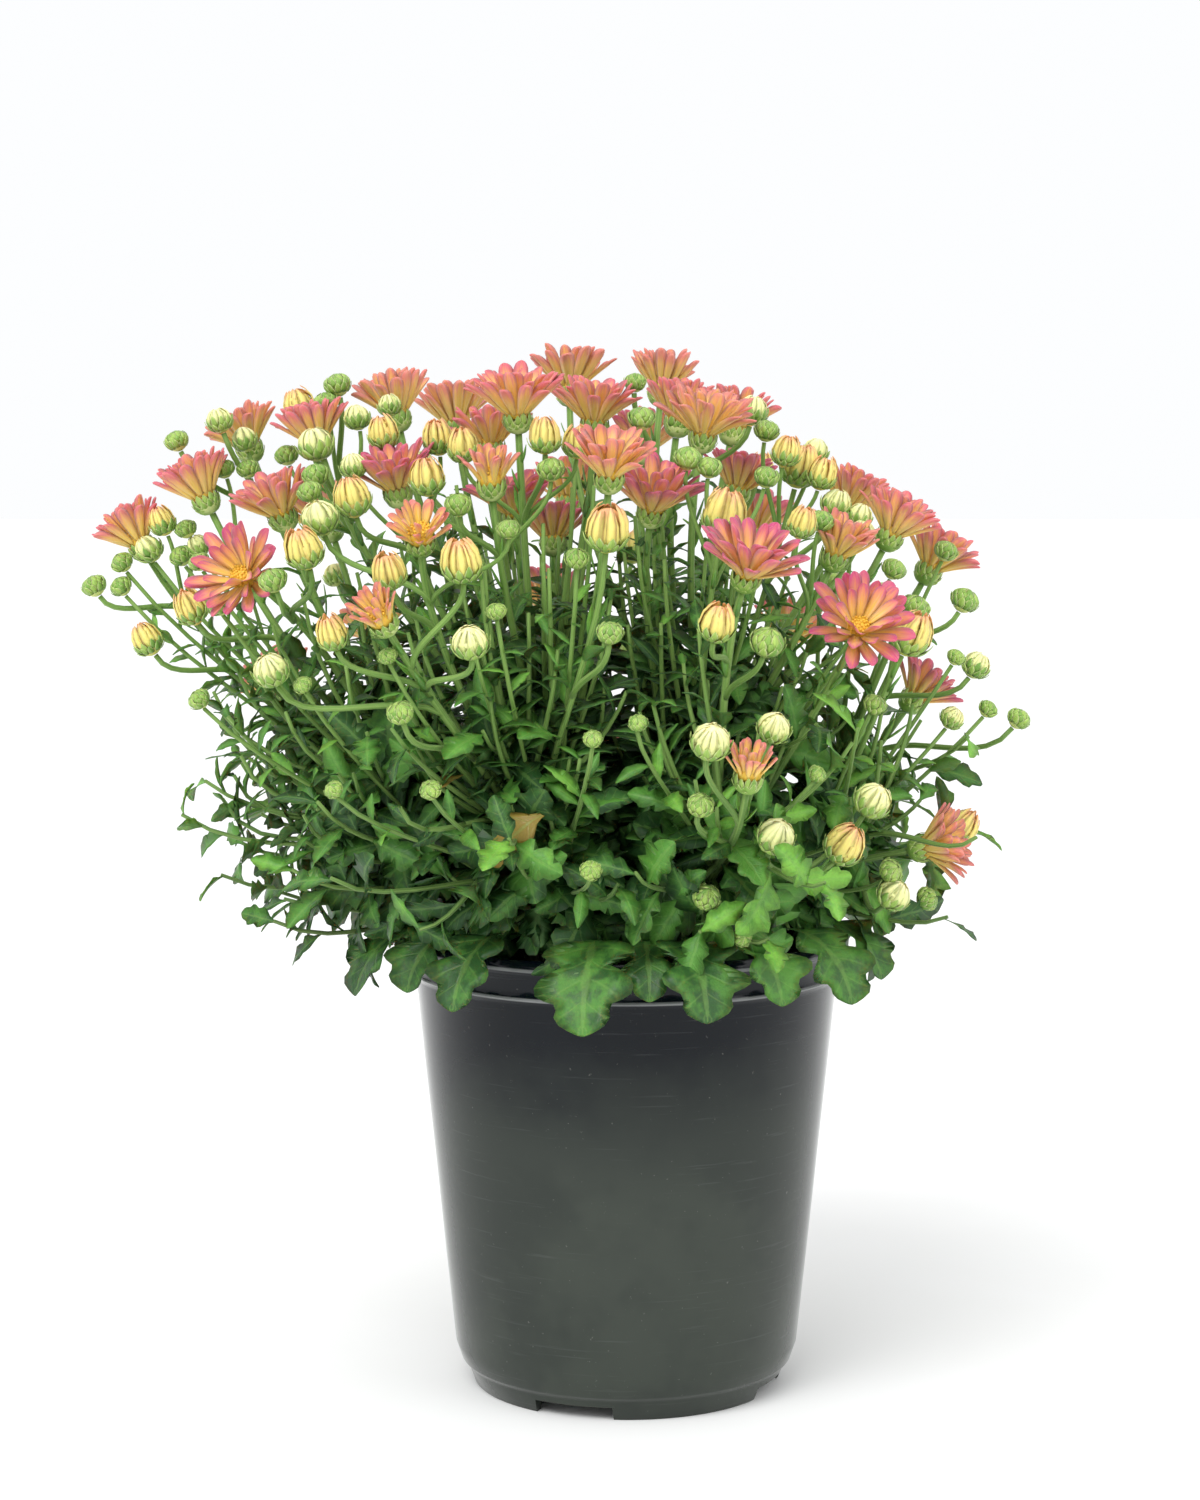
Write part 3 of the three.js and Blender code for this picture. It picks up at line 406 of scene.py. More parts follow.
# surfaces
class Shell:
    # gathers closed shapes of one piece: corners, faces, strip coordinates and two masks
    def __init__(self):
        self.parts = []
        self.count = 0

    def tubes(self, points, first, last, acrossAt, alongAt, vary, under, material):
        # k closed tubes at once: quads between rings of s corners, and a fan to a pole at each end
        k, r, s, _ = points.shape
        own = r * s + 2
        base = self.count + np.arange(k)[:, None] * own
        ring = np.arange(r - 1)[:, None] * s
        side = np.arange(s)[None, :]
        nextSide = (side + 1) % s
        quads = np.stack([ring + side, ring + nextSide, ring + s + nextSide, ring + s + side], -1).reshape(-1, 4)
        poleA = np.stack([np.full(s, r * s), nextSide[0], side[0]], -1)
        poleB = np.stack([np.full(s, r * s + 1), (r - 1) * s + side[0], (r - 1) * s + nextSide[0]], -1)
        tris = np.concatenate([poleA, poleB])
        corners = np.concatenate([points.reshape(k, r * s, 3), first[:, None], last[:, None]], 1).reshape(-1, 3)
        # strip coordinates of each face corner: across runs on past the seam instead of back over it
        a0, a1 = acrossAt[:-1], acrossAt[1:]
        v0, v1 = np.broadcast_to(alongAt[:-1, None], (r - 1, s)), np.broadcast_to(alongAt[1:, None], (r - 1, s))
        u0, u1 = np.broadcast_to(a0, (r - 1, s)), np.broadcast_to(a1, (r - 1, s))
        quadUv = np.stack([np.stack([u0, v0], -1), np.stack([u1, v0], -1), np.stack([u1, v1], -1),
                           np.stack([u0, v1], -1)], 2).reshape(-1, 4, 2)
        startV, endV = np.full(s, alongAt[0]), np.full(s, alongAt[-1])
        middle = (a0 + a1) / 2
        triUv = np.concatenate([
            np.stack([np.stack([middle, startV], -1), np.stack([a1, startV], -1), np.stack([a0, startV], -1)], 1),
            np.stack([np.stack([middle, endV], -1), np.stack([a0, endV], -1), np.stack([a1, endV], -1)], 1)])
        underAll = np.concatenate([np.tile(under, r), [under.mean(), under.mean()]])
        self.parts.append({
            "corners": corners,
            "quads": (base[:, :, None] + quads[None]).reshape(-1, 4),
            "tris": (base[:, :, None] + tris[None]).reshape(-1, 3),
            "quadUv": np.tile(quadUv, (k, 1, 1)), "triUv": np.tile(triUv, (k, 1, 1)),
            "vary": np.repeat(np.broadcast_to(vary, (k,)), own), "under": np.tile(underAll, k),
            "material": material,
        })
        self.count += k * own

    def gather(self, key, *size):
        return np.concatenate([p[key].reshape(-1, *size) for p in self.parts])

    def build(self, name, materials):
        # quads come first and triangles after them, in metres of the frame
        quads, tris = self.gather("quads", 4), self.gather("tris", 3)
        mesh = bpy.data.meshes.new(name)
        mesh.vertices.add(self.count)
        mesh.vertices.foreach_set("co", (self.gather("corners", 3) * 0.001 + potAxis).astype(np.float32).ravel())
        loops = np.concatenate([quads.ravel(), tris.ravel()]).astype(np.int32)
        mesh.loops.add(len(loops))
        mesh.loops.foreach_set("vertex_index", loops)
        starts = np.concatenate([np.arange(len(quads)) * 4, len(quads) * 4 + np.arange(len(tris)) * 3])
        mesh.polygons.add(len(starts))
        mesh.polygons.foreach_set("loop_start", starts.astype(np.int32))
        slots = [np.full(len(p[key]), p["material"]) for key in ("quads", "tris") for p in self.parts]
        mesh.polygons.foreach_set("material_index", np.concatenate(slots).astype(np.int32))
        mesh.polygons.foreach_set("use_smooth", np.ones(len(starts), bool))
        strip = np.concatenate([self.gather("quadUv", 2), self.gather("triUv", 2)])
        mesh.uv_layers.new(name="strip").uv.foreach_set("vector", strip.astype(np.float32).ravel())
        for mask in ("vary", "under"):
            values = self.gather(mask).astype(np.float32)
            mesh.attributes.new(mask, "FLOAT", "POINT").data.foreach_set("value", values)
        mesh.validate()
        mesh.update()
        for each in materials:
            mesh.materials.append(each)
        piece = bpy.data.objects.new(name, mesh)
        bpy.context.scene.collection.objects.link(piece)
        return piece


def roundTubes(shell, paths, radii, sides, ribs, vary, material):
    # rings round each path: radius(1 + depth cos(5 turn)), each ring's axes carried on from the one before
    paths = np.asarray(paths, float)
    k, r, _ = paths.shape
    ways = unit(np.gradient(paths, axis=1))
    across = np.empty_like(paths)
    aside = np.where(np.abs(ways[:, 0, :1]) < 0.9, np.array([[1.0, 0, 0]]), np.array([[0, 1.0, 0]]))
    across[:, 0] = unit(np.cross(ways[:, 0], aside))
    for i in range(1, r):
        flat = across[:, i - 1] - (across[:, i - 1] * ways[:, i]).sum(1, keepdims=True) * ways[:, i]
        across[:, i] = unit(flat)
    over = np.cross(ways, across)
    turn = np.arange(sides) / sides * 2 * np.pi
    wide = np.asarray(radii)[..., None] * (1 + ribs * np.cos(5 * turn))
    wide = np.broadcast_to(wide, (k, r, sides))[..., None]
    ring = across[:, :, None] * np.cos(turn)[:, None] + over[:, :, None] * np.sin(turn)[:, None]
    points = paths[:, :, None] + ring * wide
    alongAt = np.linspace(0, 1, r)
    shell.tubes(points, paths[:, 0], paths[:, -1], np.arange(sides + 1) / sides, alongAt, vary,
                np.zeros(sides), material)


def turned(shell, centre, axis, profile, size, sides, vary, material):
    # a profile of (height, radius) turned round each axis: p = c + axis h + ring r
    profile = np.asarray(profile, float)
    a, b = sideways(axis)
    turn = np.arange(sides) / sides * 2 * np.pi
    ring = a[:, None] * np.cos(turn)[None, :, None] + b[:, None] * np.sin(turn)[None, :, None]
    size = np.broadcast_to(np.asarray(size, float), (len(centre),))
    high = profile[None, :, 0] * size[:, None]
    wide = profile[None, :, 1] * size[:, None]
    middle = centre[:, None] + axis[:, None] * high[..., None]
    points = middle[:, :, None] + ring[:, None] * wide[..., None, None]
    shell.tubes(points, middle[:, 0], middle[:, -1], np.arange(sides + 1) / sides, np.linspace(0, 1, len(profile)),
                vary, np.zeros(sides), material)


def sideways(axis):
    # two directions square to each axis and to each other
    axis = np.atleast_2d(axis)
    ref = np.where(np.abs(axis[:, 2:3]) < 0.95, np.array([[0, 0, 1.0]]), np.array([[1.0, 0, 0]]))
    a = unit(np.cross(ref, axis))
    return a, np.cross(axis, a)


def blades(shell, base, along, upper, long, droop, outline, fold, thick, vary, material, twist=0.0, cells=5,
           wave=0.0):
    # closed thin blades. Each row runs from a point of the midrib to a point of the edge; the midrib is an
    # arc: forward = sin(droop s) / droop long, down = (1 - cos(droop s)) / droop long, and the sides lift
    # by fold times their distance from the midrib, in a smooth channel
    base, along, upper = (np.atleast_2d(np.asarray(v, float)) for v in (base, along, upper))
    k = len(base)
    outline = np.broadcast_to(outline, (k, *np.asarray(outline).shape[-2:]))  # (mid share, edge share, side)
    r = outline.shape[1]
    top = np.linspace(-1, 1, cells)
    v = np.concatenate([top, top[-2:0:-1]])
    under = np.concatenate([np.zeros(cells), np.ones(cells - 2)])
    under[[0, cells - 1]] = 0.5
    long, droop, fold = (np.broadcast_to(np.asarray(q, float), (k,))[:, None, None] for q in (long, droop, fold))
    droop = np.where(np.abs(droop) < 0.02, 0.02, droop)
    mid, edge, side = (outline[..., i][:, :, None] for i in range(3))
    left = unit(np.cross(upper, along))
    over = np.cross(along, left)
    share = mid + (edge - mid) * np.abs(v)
    turn = droop * share
    twistTurn = np.broadcast_to(np.asarray(twist, float), (k,))[:, None, None] * share
    sideAt = side * v
    lift = fold * np.abs(sideAt) * np.abs(v) * long + sideAt * long * np.sin(twistTurn) - thick * (under > 0.6)
    lift = lift + wave * long * np.abs(sideAt) * np.sin(share * 17 + v * 3 + np.arange(k)[:, None, None] * 1.7)
    forward = np.sin(turn) / droop * long + lift * np.sin(turn)
    down = (1 - np.cos(turn)) / droop * long - lift * np.cos(turn)
    points = (base[:, None, None] + along[:, None, None] * forward[..., None]
              - over[:, None, None] * down[..., None] + left[:, None, None] * (sideAt * long)[..., None])
    droop, long = droop[:, :, 0], long[:, :, 0]
    last = base + (along * np.sin(droop) - over * (1 - np.cos(droop))) / droop * long
    shell.tubes(points[:, :, ::-1], points[:, 0].mean(1), last, turnedBack(v), outline[0, :, 0], vary,
                under[::-1], material)


def turnedBack(v):
    # across values of a closed blade's ring, read the other way round, with the first one again at the end
    across = (0.5 + 0.5 * v)[::-1]
    return np.concatenate([across, across[:1]])


def onGlobe(centre, axis, radius, polar, turn):
    # a point of a globe, the way up along its meridian and the way out of it
    a, b = sideways(axis)
    out = a * np.cos(turn)[:, None] + b * np.sin(turn)[:, None]
    sine, cosine = np.sin(polar)[:, None], np.cos(polar)[:, None]
    place = centre + (out * sine + axis * cosine) * np.asarray(radius)[:, None]
    return place, axis * sine - out * cosine, out * sine + axis * cosine


# rows of a blade: (share on the midrib, share at the edge, half width), all by its length
lobedLeaf = np.array([
    (0.00, 0.00, 0.016), (0.10, 0.12, 0.022), (0.17, 0.20, 0.055), (0.22, 0.27, 0.145), (0.26, 0.33, 0.215),
    (0.30, 0.38, 0.252), (0.34, 0.43, 0.258), (0.38, 0.47, 0.222), (0.42, 0.50, 0.160), (0.46, 0.53, 0.140),
    (0.50, 0.58, 0.190), (0.55, 0.64, 0.250), (0.59, 0.69, 0.278), (0.63, 0.74, 0.270), (0.67, 0.77, 0.222),
    (0.71, 0.79, 0.165), (0.76, 0.83, 0.150), (0.82, 0.88, 0.158), (0.88, 0.93, 0.130), (0.94, 0.965, 0.078),
    (0.98, 0.99, 0.032),
])
smallLobedLeaf = lobedLeaf[[0, 1, 2, 4, 6, 9, 11, 13, 15, 17, 18, 20]]


def plainOutline(rows):
    # the same rows without lobes: half width = 0.015 + 0.145 sin(pi share^0.85)^1.2
    share = rows[:, 0]
    return np.stack([share, share + 0.02 * np.sin(np.pi * share),
                     0.015 + 0.145 * np.sin(np.pi * share ** 0.85) ** 1.2], -1)


bractLeaf = np.array([(0, 0, 0.05), (0.2, 0.2, 0.1), (0.45, 0.45, 0.12), (0.75, 0.75, 0.075), (0.95, 0.95, 0.02)])
floretBlade = np.array([(0, 0, 0.055), (0.14, 0.14, 0.078), (0.32, 0.32, 0.112), (0.52, 0.52, 0.143),
                        (0.70, 0.70, 0.157), (0.84, 0.83, 0.150), (0.93, 0.915, 0.118), (0.98, 0.97, 0.068)])
scaleBlade = np.array([(0, 0, 0.24), (0.35, 0.35, 0.31), (0.7, 0.7, 0.24), (0.95, 0.95, 0.07)])
budFloret = np.array([(0, 0, 0.11), (0.3, 0.3, 0.135), (0.6, 0.6, 0.125), (0.85, 0.85, 0.08), (0.97, 0.97, 0.035)])


# shader groups and materials
def put(tree, kind, inputs=None, **settings):
    # one node, its settings and what goes into its sockets: a link for a socket, else a value
    node = tree.nodes.new("ShaderNode" + kind)
    for key, value in settings.items():
        setattr(node, key, value)
    for key, value in (inputs or {}).items():
        if isinstance(value, bpy.types.NodeSocket):
            tree.links.new(value, node.inputs[key])
        else:
            node.inputs[key].default_value = value
    return node


def calc(kind, a, b=0.0, c=0.0):
    tree = next(v for v in (a, b, c) if isinstance(v, bpy.types.NodeSocket)).id_data
    return put(tree, "Math", {0: a, 1: b, 2: c}, operation=kind).outputs[0]


def times(a, b):
    return calc("MULTIPLY", a, b)


def plus(a, b):
    return calc("ADD", a, b)


def scaled(value, by, then):
    # value times by, and then a number added
    return calc("MULTIPLY_ADD", value, by, then)


def apart(a, b):
    return calc("ABSOLUTE", calc("SUBTRACT", a, b))


def blend(share, a, b):
    # share 0 gives colour a, share 1 colour b
    a, b = (c if isinstance(c, bpy.types.NodeSocket) else (*c, 1) for c in (a, b))
    return put(share.id_data, "Mix", {0: share, 6: a, 7: b}, data_type="RGBA").outputs[2]


def ramp(value, low, high, toLow=0.0, toHigh=1.0):
    # eases from toLow at low to toHigh at high
    return put(value.id_data, "MapRange", {0: value, 1: low, 2: high, 3: toLow, 4: toHigh},
               interpolation_type="SMOOTHSTEP").outputs[0]


def group(name, inputs, fill):
    # a shader node group with named inputs; fill gets them and returns the value that the group puts out
    tree = bpy.data.node_groups.new(name, "ShaderNodeTree")
    for key, value in inputs.items():
        kind = "NodeSocketVector" if value == "vector" else "NodeSocketFloat"
        socket = tree.interface.new_socket(key, in_out="INPUT", socket_type=kind)
        if kind == "NodeSocketFloat":
            socket.default_value = value
    entry = tree.nodes.new("NodeGroupInput")
    value = fill(entry.outputs)
    tree.interface.new_socket("Value", in_out="OUTPUT", socket_type="NodeSocketFloat")
    leave = tree.nodes.new("NodeGroupOutput")
    tree.links.new(value, leave.inputs["Value"])
    return tree


def use(shared, inputs):
    # one copy of a shared effect in the tree of its first input
    tree = next(iter(inputs.values())).id_data
    return put(tree, "Group", inputs, node_tree=shared).outputs[0]


def mottleNodes(given):
    tree = given["Vector"].id_data
    noise = put(tree, "TexNoise", {"Vector": given["Vector"], "Scale": given["Scale"], "Detail": 4.0,
                                   "Roughness": 0.6})
    return ramp(noise.outputs[0], given["Low"], given["High"])


def streakNodes(given):
    # noise squeezed across and drawn out along, with a slice of its own for each blade
    tree = given["Across"].id_data
    spot = put(tree, "CombineXYZ", {0: times(given["Across"], given["Count"]), 1: times(given["Along"], 1.3),
                                    2: times(given["Seed"], 37.0)}).outputs[0]
    noise = put(tree, "TexNoise", {"Vector": spot, "Scale": 1.0, "Detail": 2.0, "Roughness": 0.5})
    return ramp(noise.outputs[0], 0.36, 0.64)


def nerveNodes(given):
    # a midrib, and side nerves where along minus a share of the distance from the midrib comes round again
    aside = apart(given["Across"], 0.5)
    midrib = ramp(aside, 0.03, 0.07, 1.0, 0.0)
    wave = calc("SUBTRACT", times(given["Along"], given["Count"]), times(aside, 1.2))
    near = apart(calc("FRACT", wave), 0.5)
    side = times(ramp(near, 0.0, 0.1, 1.0, 0.0), ramp(aside, 0.4, 0.5, 0.7, 0.0))
    return calc("MAXIMUM", midrib, side)


mottle = group("mottle", {"Vector": "vector", "Scale": 60.0, "Low": 0.35, "High": 0.65}, mottleNodes)
streaks = group("streaks", {"Across": 0.0, "Along": 0.0, "Count": 6.0, "Seed": 0.0}, streakNodes)
nerves = group("nerves", {"Across": 0.0, "Along": 0.0, "Count": 5.0}, nerveNodes)


def newMaterial(name, **shader):
    # a material with its Principled shader, and the coordinates and masks that its pattern reads
    material = bpy.data.materials.new(name)
    material.use_nodes = True
    tree = material.node_tree
    surface = tree.nodes["Principled BSDF"]
    for key, value in shader.items():
        surface.inputs[key.replace("_", " ")].default_value = value
    spot = tree.nodes.new("ShaderNodeTexCoord").outputs["Object"]
    strip = put(tree, "SeparateXYZ", {0: put(tree, "UVMap", uv_map="strip").outputs[0]})
    across, along = strip.outputs[0], strip.outputs[1]
    vary = put(tree, "Attribute", attribute_name="vary").outputs["Fac"]
    under = put(tree, "Attribute", attribute_name="under").outputs["Fac"]
    high = put(tree, "SeparateXYZ", {0: spot}).outputs[2]
    return surface, {"material": material, "spot": spot, "high": high, "across": across, "along": along,
                     "vary": vary, "under": under}


def mottled(read, scale, low=0.35, high=0.65):
    return use(mottle, {"Vector": read["spot"], "Scale": scale, "Low": low, "High": high})


def streaked(read, count):
    return use(streaks, {"Across": read["across"], "Along": read["along"], "Count": count,
                         "Seed": read["vary"]})


def edgeOf(read):
    # 0 along the middle of a blade, 1 at its edges
    return calc("ABSOLUTE", scaled(read["across"], 2.0, -1.0))


def finishWith(surface, read, colour, roughness, height, strength, distance):
    tree = surface.id_data
    tree.links.new(colour, surface.inputs["Base Color"])
    tree.links.new(roughness, surface.inputs["Roughness"])
    bump = put(tree, "Bump", {"Strength": strength, "Distance": distance, "Height": height})
    tree.links.new(bump.outputs[0], surface.inputs["Normal"])
    return read["material"]


floretLook = {
    "orange": {"base": (0.94, 0.66, 0.10), "middle": (0.91, 0.50, 0.15), "tip": (0.72, 0.17, 0.19)},
    "coral": {"base": (0.93, 0.63, 0.10), "middle": (0.88, 0.43, 0.14), "tip": (0.68, 0.10, 0.19)},
    "magenta": {"base": (0.92, 0.58, 0.10), "middle": (0.82, 0.30, 0.15), "tip": (0.58, 0.045, 0.20)},
    "pale": (0.97, 0.78, 0.40), "under": (0.90, 0.54, 0.15),
}


def makeFloretMaterial(tone):
    look = floretLook[tone]
    surface, read = newMaterial("florets_" + tone, Subsurface_Weight=0.12, Subsurface_Scale=0.002,
                                Subsurface_Radius=(1.0, 0.4, 0.25), Sheen_Weight=0.15, IOR=1.4)
    edge = edgeOf(read)
    line = streaked(read, 9.0)
    reach = plus(read["along"], scaled(edge, 0.26, -0.05))
    reach = plus(reach, scaled(line, 0.2, -0.1))
    reach = plus(reach, scaled(read["vary"], 0.24, -0.12))
    colour = blend(ramp(reach, 0.22, 0.72), look["base"], look["middle"])
    colour = blend(ramp(reach, 0.64, 1.02), colour, look["tip"])
    pale = times(line, ramp(reach, 0.3, 1.0, 0.5, 0.15))
    colour = blend(pale, colour, floretLook["pale"])
    back = times(read["under"], ramp(reach, 0.2, 0.95, 0.4, 0.1))
    colour = blend(back, colour, floretLook["under"])
    fine = mottled(read, 900.0)
    height = plus(times(line, 0.8), times(fine, 0.3))
    return finishWith(surface, read, colour, ramp(fine, 0.0, 1.0, 0.42, 0.62), height, 0.35, 0.0003)


leafColours = {"dark": (0.022, 0.080, 0.018), "green": (0.088, 0.265, 0.036), "fresh": (0.20, 0.48, 0.06),
               "under": (0.15, 0.28, 0.10), "nerve": (0.20, 0.37, 0.08), "yellow": (0.27, 0.19, 0.03)}


def makeLeafMaterial():
    surface, read = newMaterial("leaf", Subsurface_Weight=0.06, Subsurface_Scale=0.002, IOR=1.4)
    patch = mottled(read, 140.0)
    fine = mottled(read, 1100.0)
    nerve = use(nerves, {"Across": read["across"], "Along": read["along"], "Count": 6.0})
    # vary holds random leaf tone and painted shade: leaves deep in the crown carry lower values, so they come out
    # darker green
    ageAndDepthShade = plus(read["vary"], scaled(patch, 0.3, -0.15))
    colour = blend(ramp(ageAndDepthShade, 0.0, 0.5), leafColours["dark"], leafColours["green"])
    colour = blend(ramp(ageAndDepthShade, 0.5, 0.95), colour, leafColours["fresh"])
    colour = blend(ramp(read["vary"], 0.985, 0.995), colour, leafColours["yellow"])
    colour = blend(times(nerve, 0.3), colour, leafColours["nerve"])
    colour = blend(times(ramp(read["under"], 0.5, 1.0), 0.65), colour, leafColours["under"])
    colour = blend(times(fine, 0.12), colour, (0.02, 0.05, 0.015))
    height = calc("SUBTRACT", times(fine, 0.35), nerve)
    return finishWith(surface, read, colour, ramp(patch, 0.0, 1.0, 0.36, 0.54), height, 0.35, 0.0004)


def makeStalkMaterial():
    surface, read = newMaterial("stalk", Roughness=0.6, Sheen_Weight=0.08)
    line = streaked(read, 14.0)
    rise = ramp(read["high"], 0.15, 0.30)
    colour = blend(rise, (0.05, 0.12, 0.02), (0.14, 0.28, 0.045))
    colour = blend(times(line, 0.5), colour, (0.28, 0.43, 0.10))
    woody = times(ramp(read["high"], 0.15, 0.19, 1.0, 0.0), 0.8)
    colour = blend(woody, colour, (0.16, 0.12, 0.06))
    fine = mottled(read, 1300.0)
    bumps = plus(line, times(fine, 0.6))
    return finishWith(surface, read, colour, ramp(fine, 0.0, 1.0, 0.5, 0.7), bumps, 0.4, 0.0003)


def makeScaleMaterial():
    # green scales with pale, dry margins and a darker middle line
    surface, read = newMaterial("scales", Roughness=0.5, Sheen_Weight=0.05)
    edge = edgeOf(read)
    fine = mottled(read, 800.0)
    margin = ramp(plus(edge, times(read["along"], 0.35)), 0.75, 1.1)
    colour = blend(read["vary"], (0.16, 0.33, 0.045), (0.36, 0.53, 0.10))
    colour = blend(times(margin, 0.75), colour, (0.71, 0.79, 0.34))
    middle = times(ramp(edge, 0.0, 0.3, 1.0, 0.0), 0.3)
    colour = blend(middle, colour, (0.11, 0.24, 0.04))
    return finishWith(surface, read, colour, ramp(fine, 0.0, 1.0, 0.45, 0.62), fine, 0.3, 0.0002)


budColours = {
    "cream": {"foot": (0.50, 0.60, 0.17), "body": (0.82, 0.81, 0.34), "tip": (0.94, 0.88, 0.50),
              "line": (0.56, 0.66, 0.20)},
    "yellow": {"foot": (0.62, 0.66, 0.14), "body": (0.87, 0.69, 0.19), "tip": (0.84, 0.40, 0.22),
               "line": (0.80, 0.48, 0.16)},
}


def makeBudMaterial(kind):
    # folded florets of a bud: foot to tip colours and fine lines along them
    look = budColours[kind]
    surface, read = newMaterial("bud_" + kind, Roughness=0.5, Subsurface_Weight=0.1, Subsurface_Scale=0.002)
    mark = streaked(read, 7.0)
    edge = edgeOf(read)
    colour = blend(ramp(read["along"], 0.0, 0.5), look["foot"], look["body"])
    colour = blend(ramp(scaled(mark, 0.2, read["along"]), 0.7, 1.15), colour, look["tip"])
    dark = times(ramp(scaled(mark, 0.35, edge), 0.8, 1.3), 0.6)
    colour = blend(dark, colour, look["line"])
    fine = mottled(read, 900.0)
    return finishWith(surface, read, colour, ramp(fine, 0.0, 1.0, 0.42, 0.6), plus(mark, fine), 0.35, 0.0002)


def makeDiscMaterial():
    surface, read = newMaterial("disc", Roughness=0.55, Subsurface_Weight=0.1, Subsurface_Scale=0.002)
    fine = mottled(read, 700.0)
    colour = blend(read["along"], (0.62, 0.42, 0.04), (0.93, 0.62, 0.07))
    colour = blend(times(fine, 0.35), colour, (0.80, 0.34, 0.05))
    return finishWith(surface, read, colour, ramp(fine, 0.0, 1.0, 0.45, 0.65), fine, 0.4, 0.0002)


def makePotMaterial():
    # black plastic: grey-green haze low down, blue-black under the rim, pale edges as painted highlight, fine
    # scratches, dust
    surface, read = newMaterial("pot_plastic", IOR=1.46, Specular_IOR_Level=0.02, Coat_Weight=1.0, Coat_IOR=1.3,
                                Coat_Roughness=0.12)
    broad = mottled(read, 14.0, 0.3, 0.7)
    fine = mottled(read, 420.0)
    specks = mottled(read, 650.0, 0.68, 0.74)
    wavy = scaled(broad, 0.03, read["high"])
    haze = times(ramp(wavy, 0.10, 0.165, 1.0, 0.0), ramp(broad, 0.0, 1.0, 0.65, 1.0))
    colour = blend(haze, (0.001, 0.003, 0.006), (0.041, 0.049, 0.040))
    stretched = put(surface.id_data, "VectorMath", {0: read["spot"], 1: (9.0, 9.0, 260.0)},
                    operation="MULTIPLY")
    scratch = use(mottle, {"Vector": stretched.outputs[0], "Scale": 3.0, "Low": 0.60, "High": 0.72})
    colour = blend(times(scratch, 0.10), colour, (0.16, 0.17, 0.17))
    colour = blend(times(specks, 0.35), colour, (0.22, 0.22, 0.20))
    # thin pale lines along the step and the rim: painted highlight where these edges catch the light
    stepLine, rimLine = (ramp(apart(read["high"], level), 0.0003, 0.0009, 1.0, 0.0)
                         for level in (0.1576, 0.1684))
    paleEdgeHighlight = times(calc("MAXIMUM", stepLine, rimLine), ramp(broad, 0.0, 1.0, 0.5, 0.9))
    colour = blend(paleEdgeHighlight, colour, (0.24, 0.25, 0.25))
    rough = plus(ramp(haze, 0.0, 1.0, 0.30, 0.44), times(fine, 0.08))
    bumps = plus(times(fine, 0.3), times(scratch, 0.5))
    return finishWith(surface, read, colour, rough, bumps, 0.15, 0.0002)


def makeSoilMaterial():
    surface, read = newMaterial("soil_peat", Roughness=0.95)
    clod = mottled(read, 180.0)
    fine = mottled(read, 900.0)
    colour = blend(clod, (0.014, 0.009, 0.006), (0.060, 0.038, 0.022))
    colour = blend(times(fine, 0.4), colour, (0.11, 0.075, 0.045))
    return finishWith(surface, read, colour, ramp(fine, 0.0, 1.0, 0.85, 1.0), plus(clod, fine), 0.8, 0.001)


floretMaterials = {tone: makeFloretMaterial(tone) for tone in ("orange", "coral", "magenta")}
leafMaterial = makeLeafMaterial()
stalkMaterial = makeStalkMaterial()
scaleMaterial = makeScaleMaterial()
creamMaterial = makeBudMaterial("cream")
yellowMaterial = makeBudMaterial("yellow")
discMaterial = makeDiscMaterial()
potMaterial = makePotMaterial()
soilMaterial = makeSoilMaterial()
print("materials", len(bpy.data.materials))


# open heads
openHead = {
    # count, start, share inwards, length
    "whorls": [(13, 0.0, 0.0, 1.0), (12, 0.5, 0.45, 0.93), (9, 0.2, 1.0, 0.74)],
    "smallRadius": 17, "fewer": 4,  # a small head has fewer florets
    "outerSlopes": (70, 27), "innerSlopes": (81, 54),  # degrees, shut and wide open
    "thick": 0.35, "fold": 0.42,
    "core": [(0.35, 1.0), (0.4, 4.1), (1.5, 4.5), (3.6, 4.3), (5.2, 3.7), (6.2, 2.4), (6.6, 0.8)],
    "discFlorets": 46, "discRadius": 3.9, "discTop": 5.6,
    "stub": [(0, 0.38), (0.55, 0.34), (0.85, 0.5), (1.0, 0.3)],
}


def turnTo(facing, spin):
    # local axes of a head: the shortest turn from straight up to its facing, after its own spin
    axis = np.cross(up, facing)
    sine, cosine = np.linalg.norm(axis), facing[2]
    k = axis / max(sine, 1e-9)
    cross = np.array([[0, -k[2], k[1]], [k[2], 0, -k[0]], [-k[1], k[0], 0]])
    lean = np.eye(3) + sine * cross + (1 - cosine) * cross @ cross
    c, s = np.cos(spin), np.sin(spin)
    return lean @ np.array([[c, -s, 0], [s, c, 0], [0, 0, 1.0]])


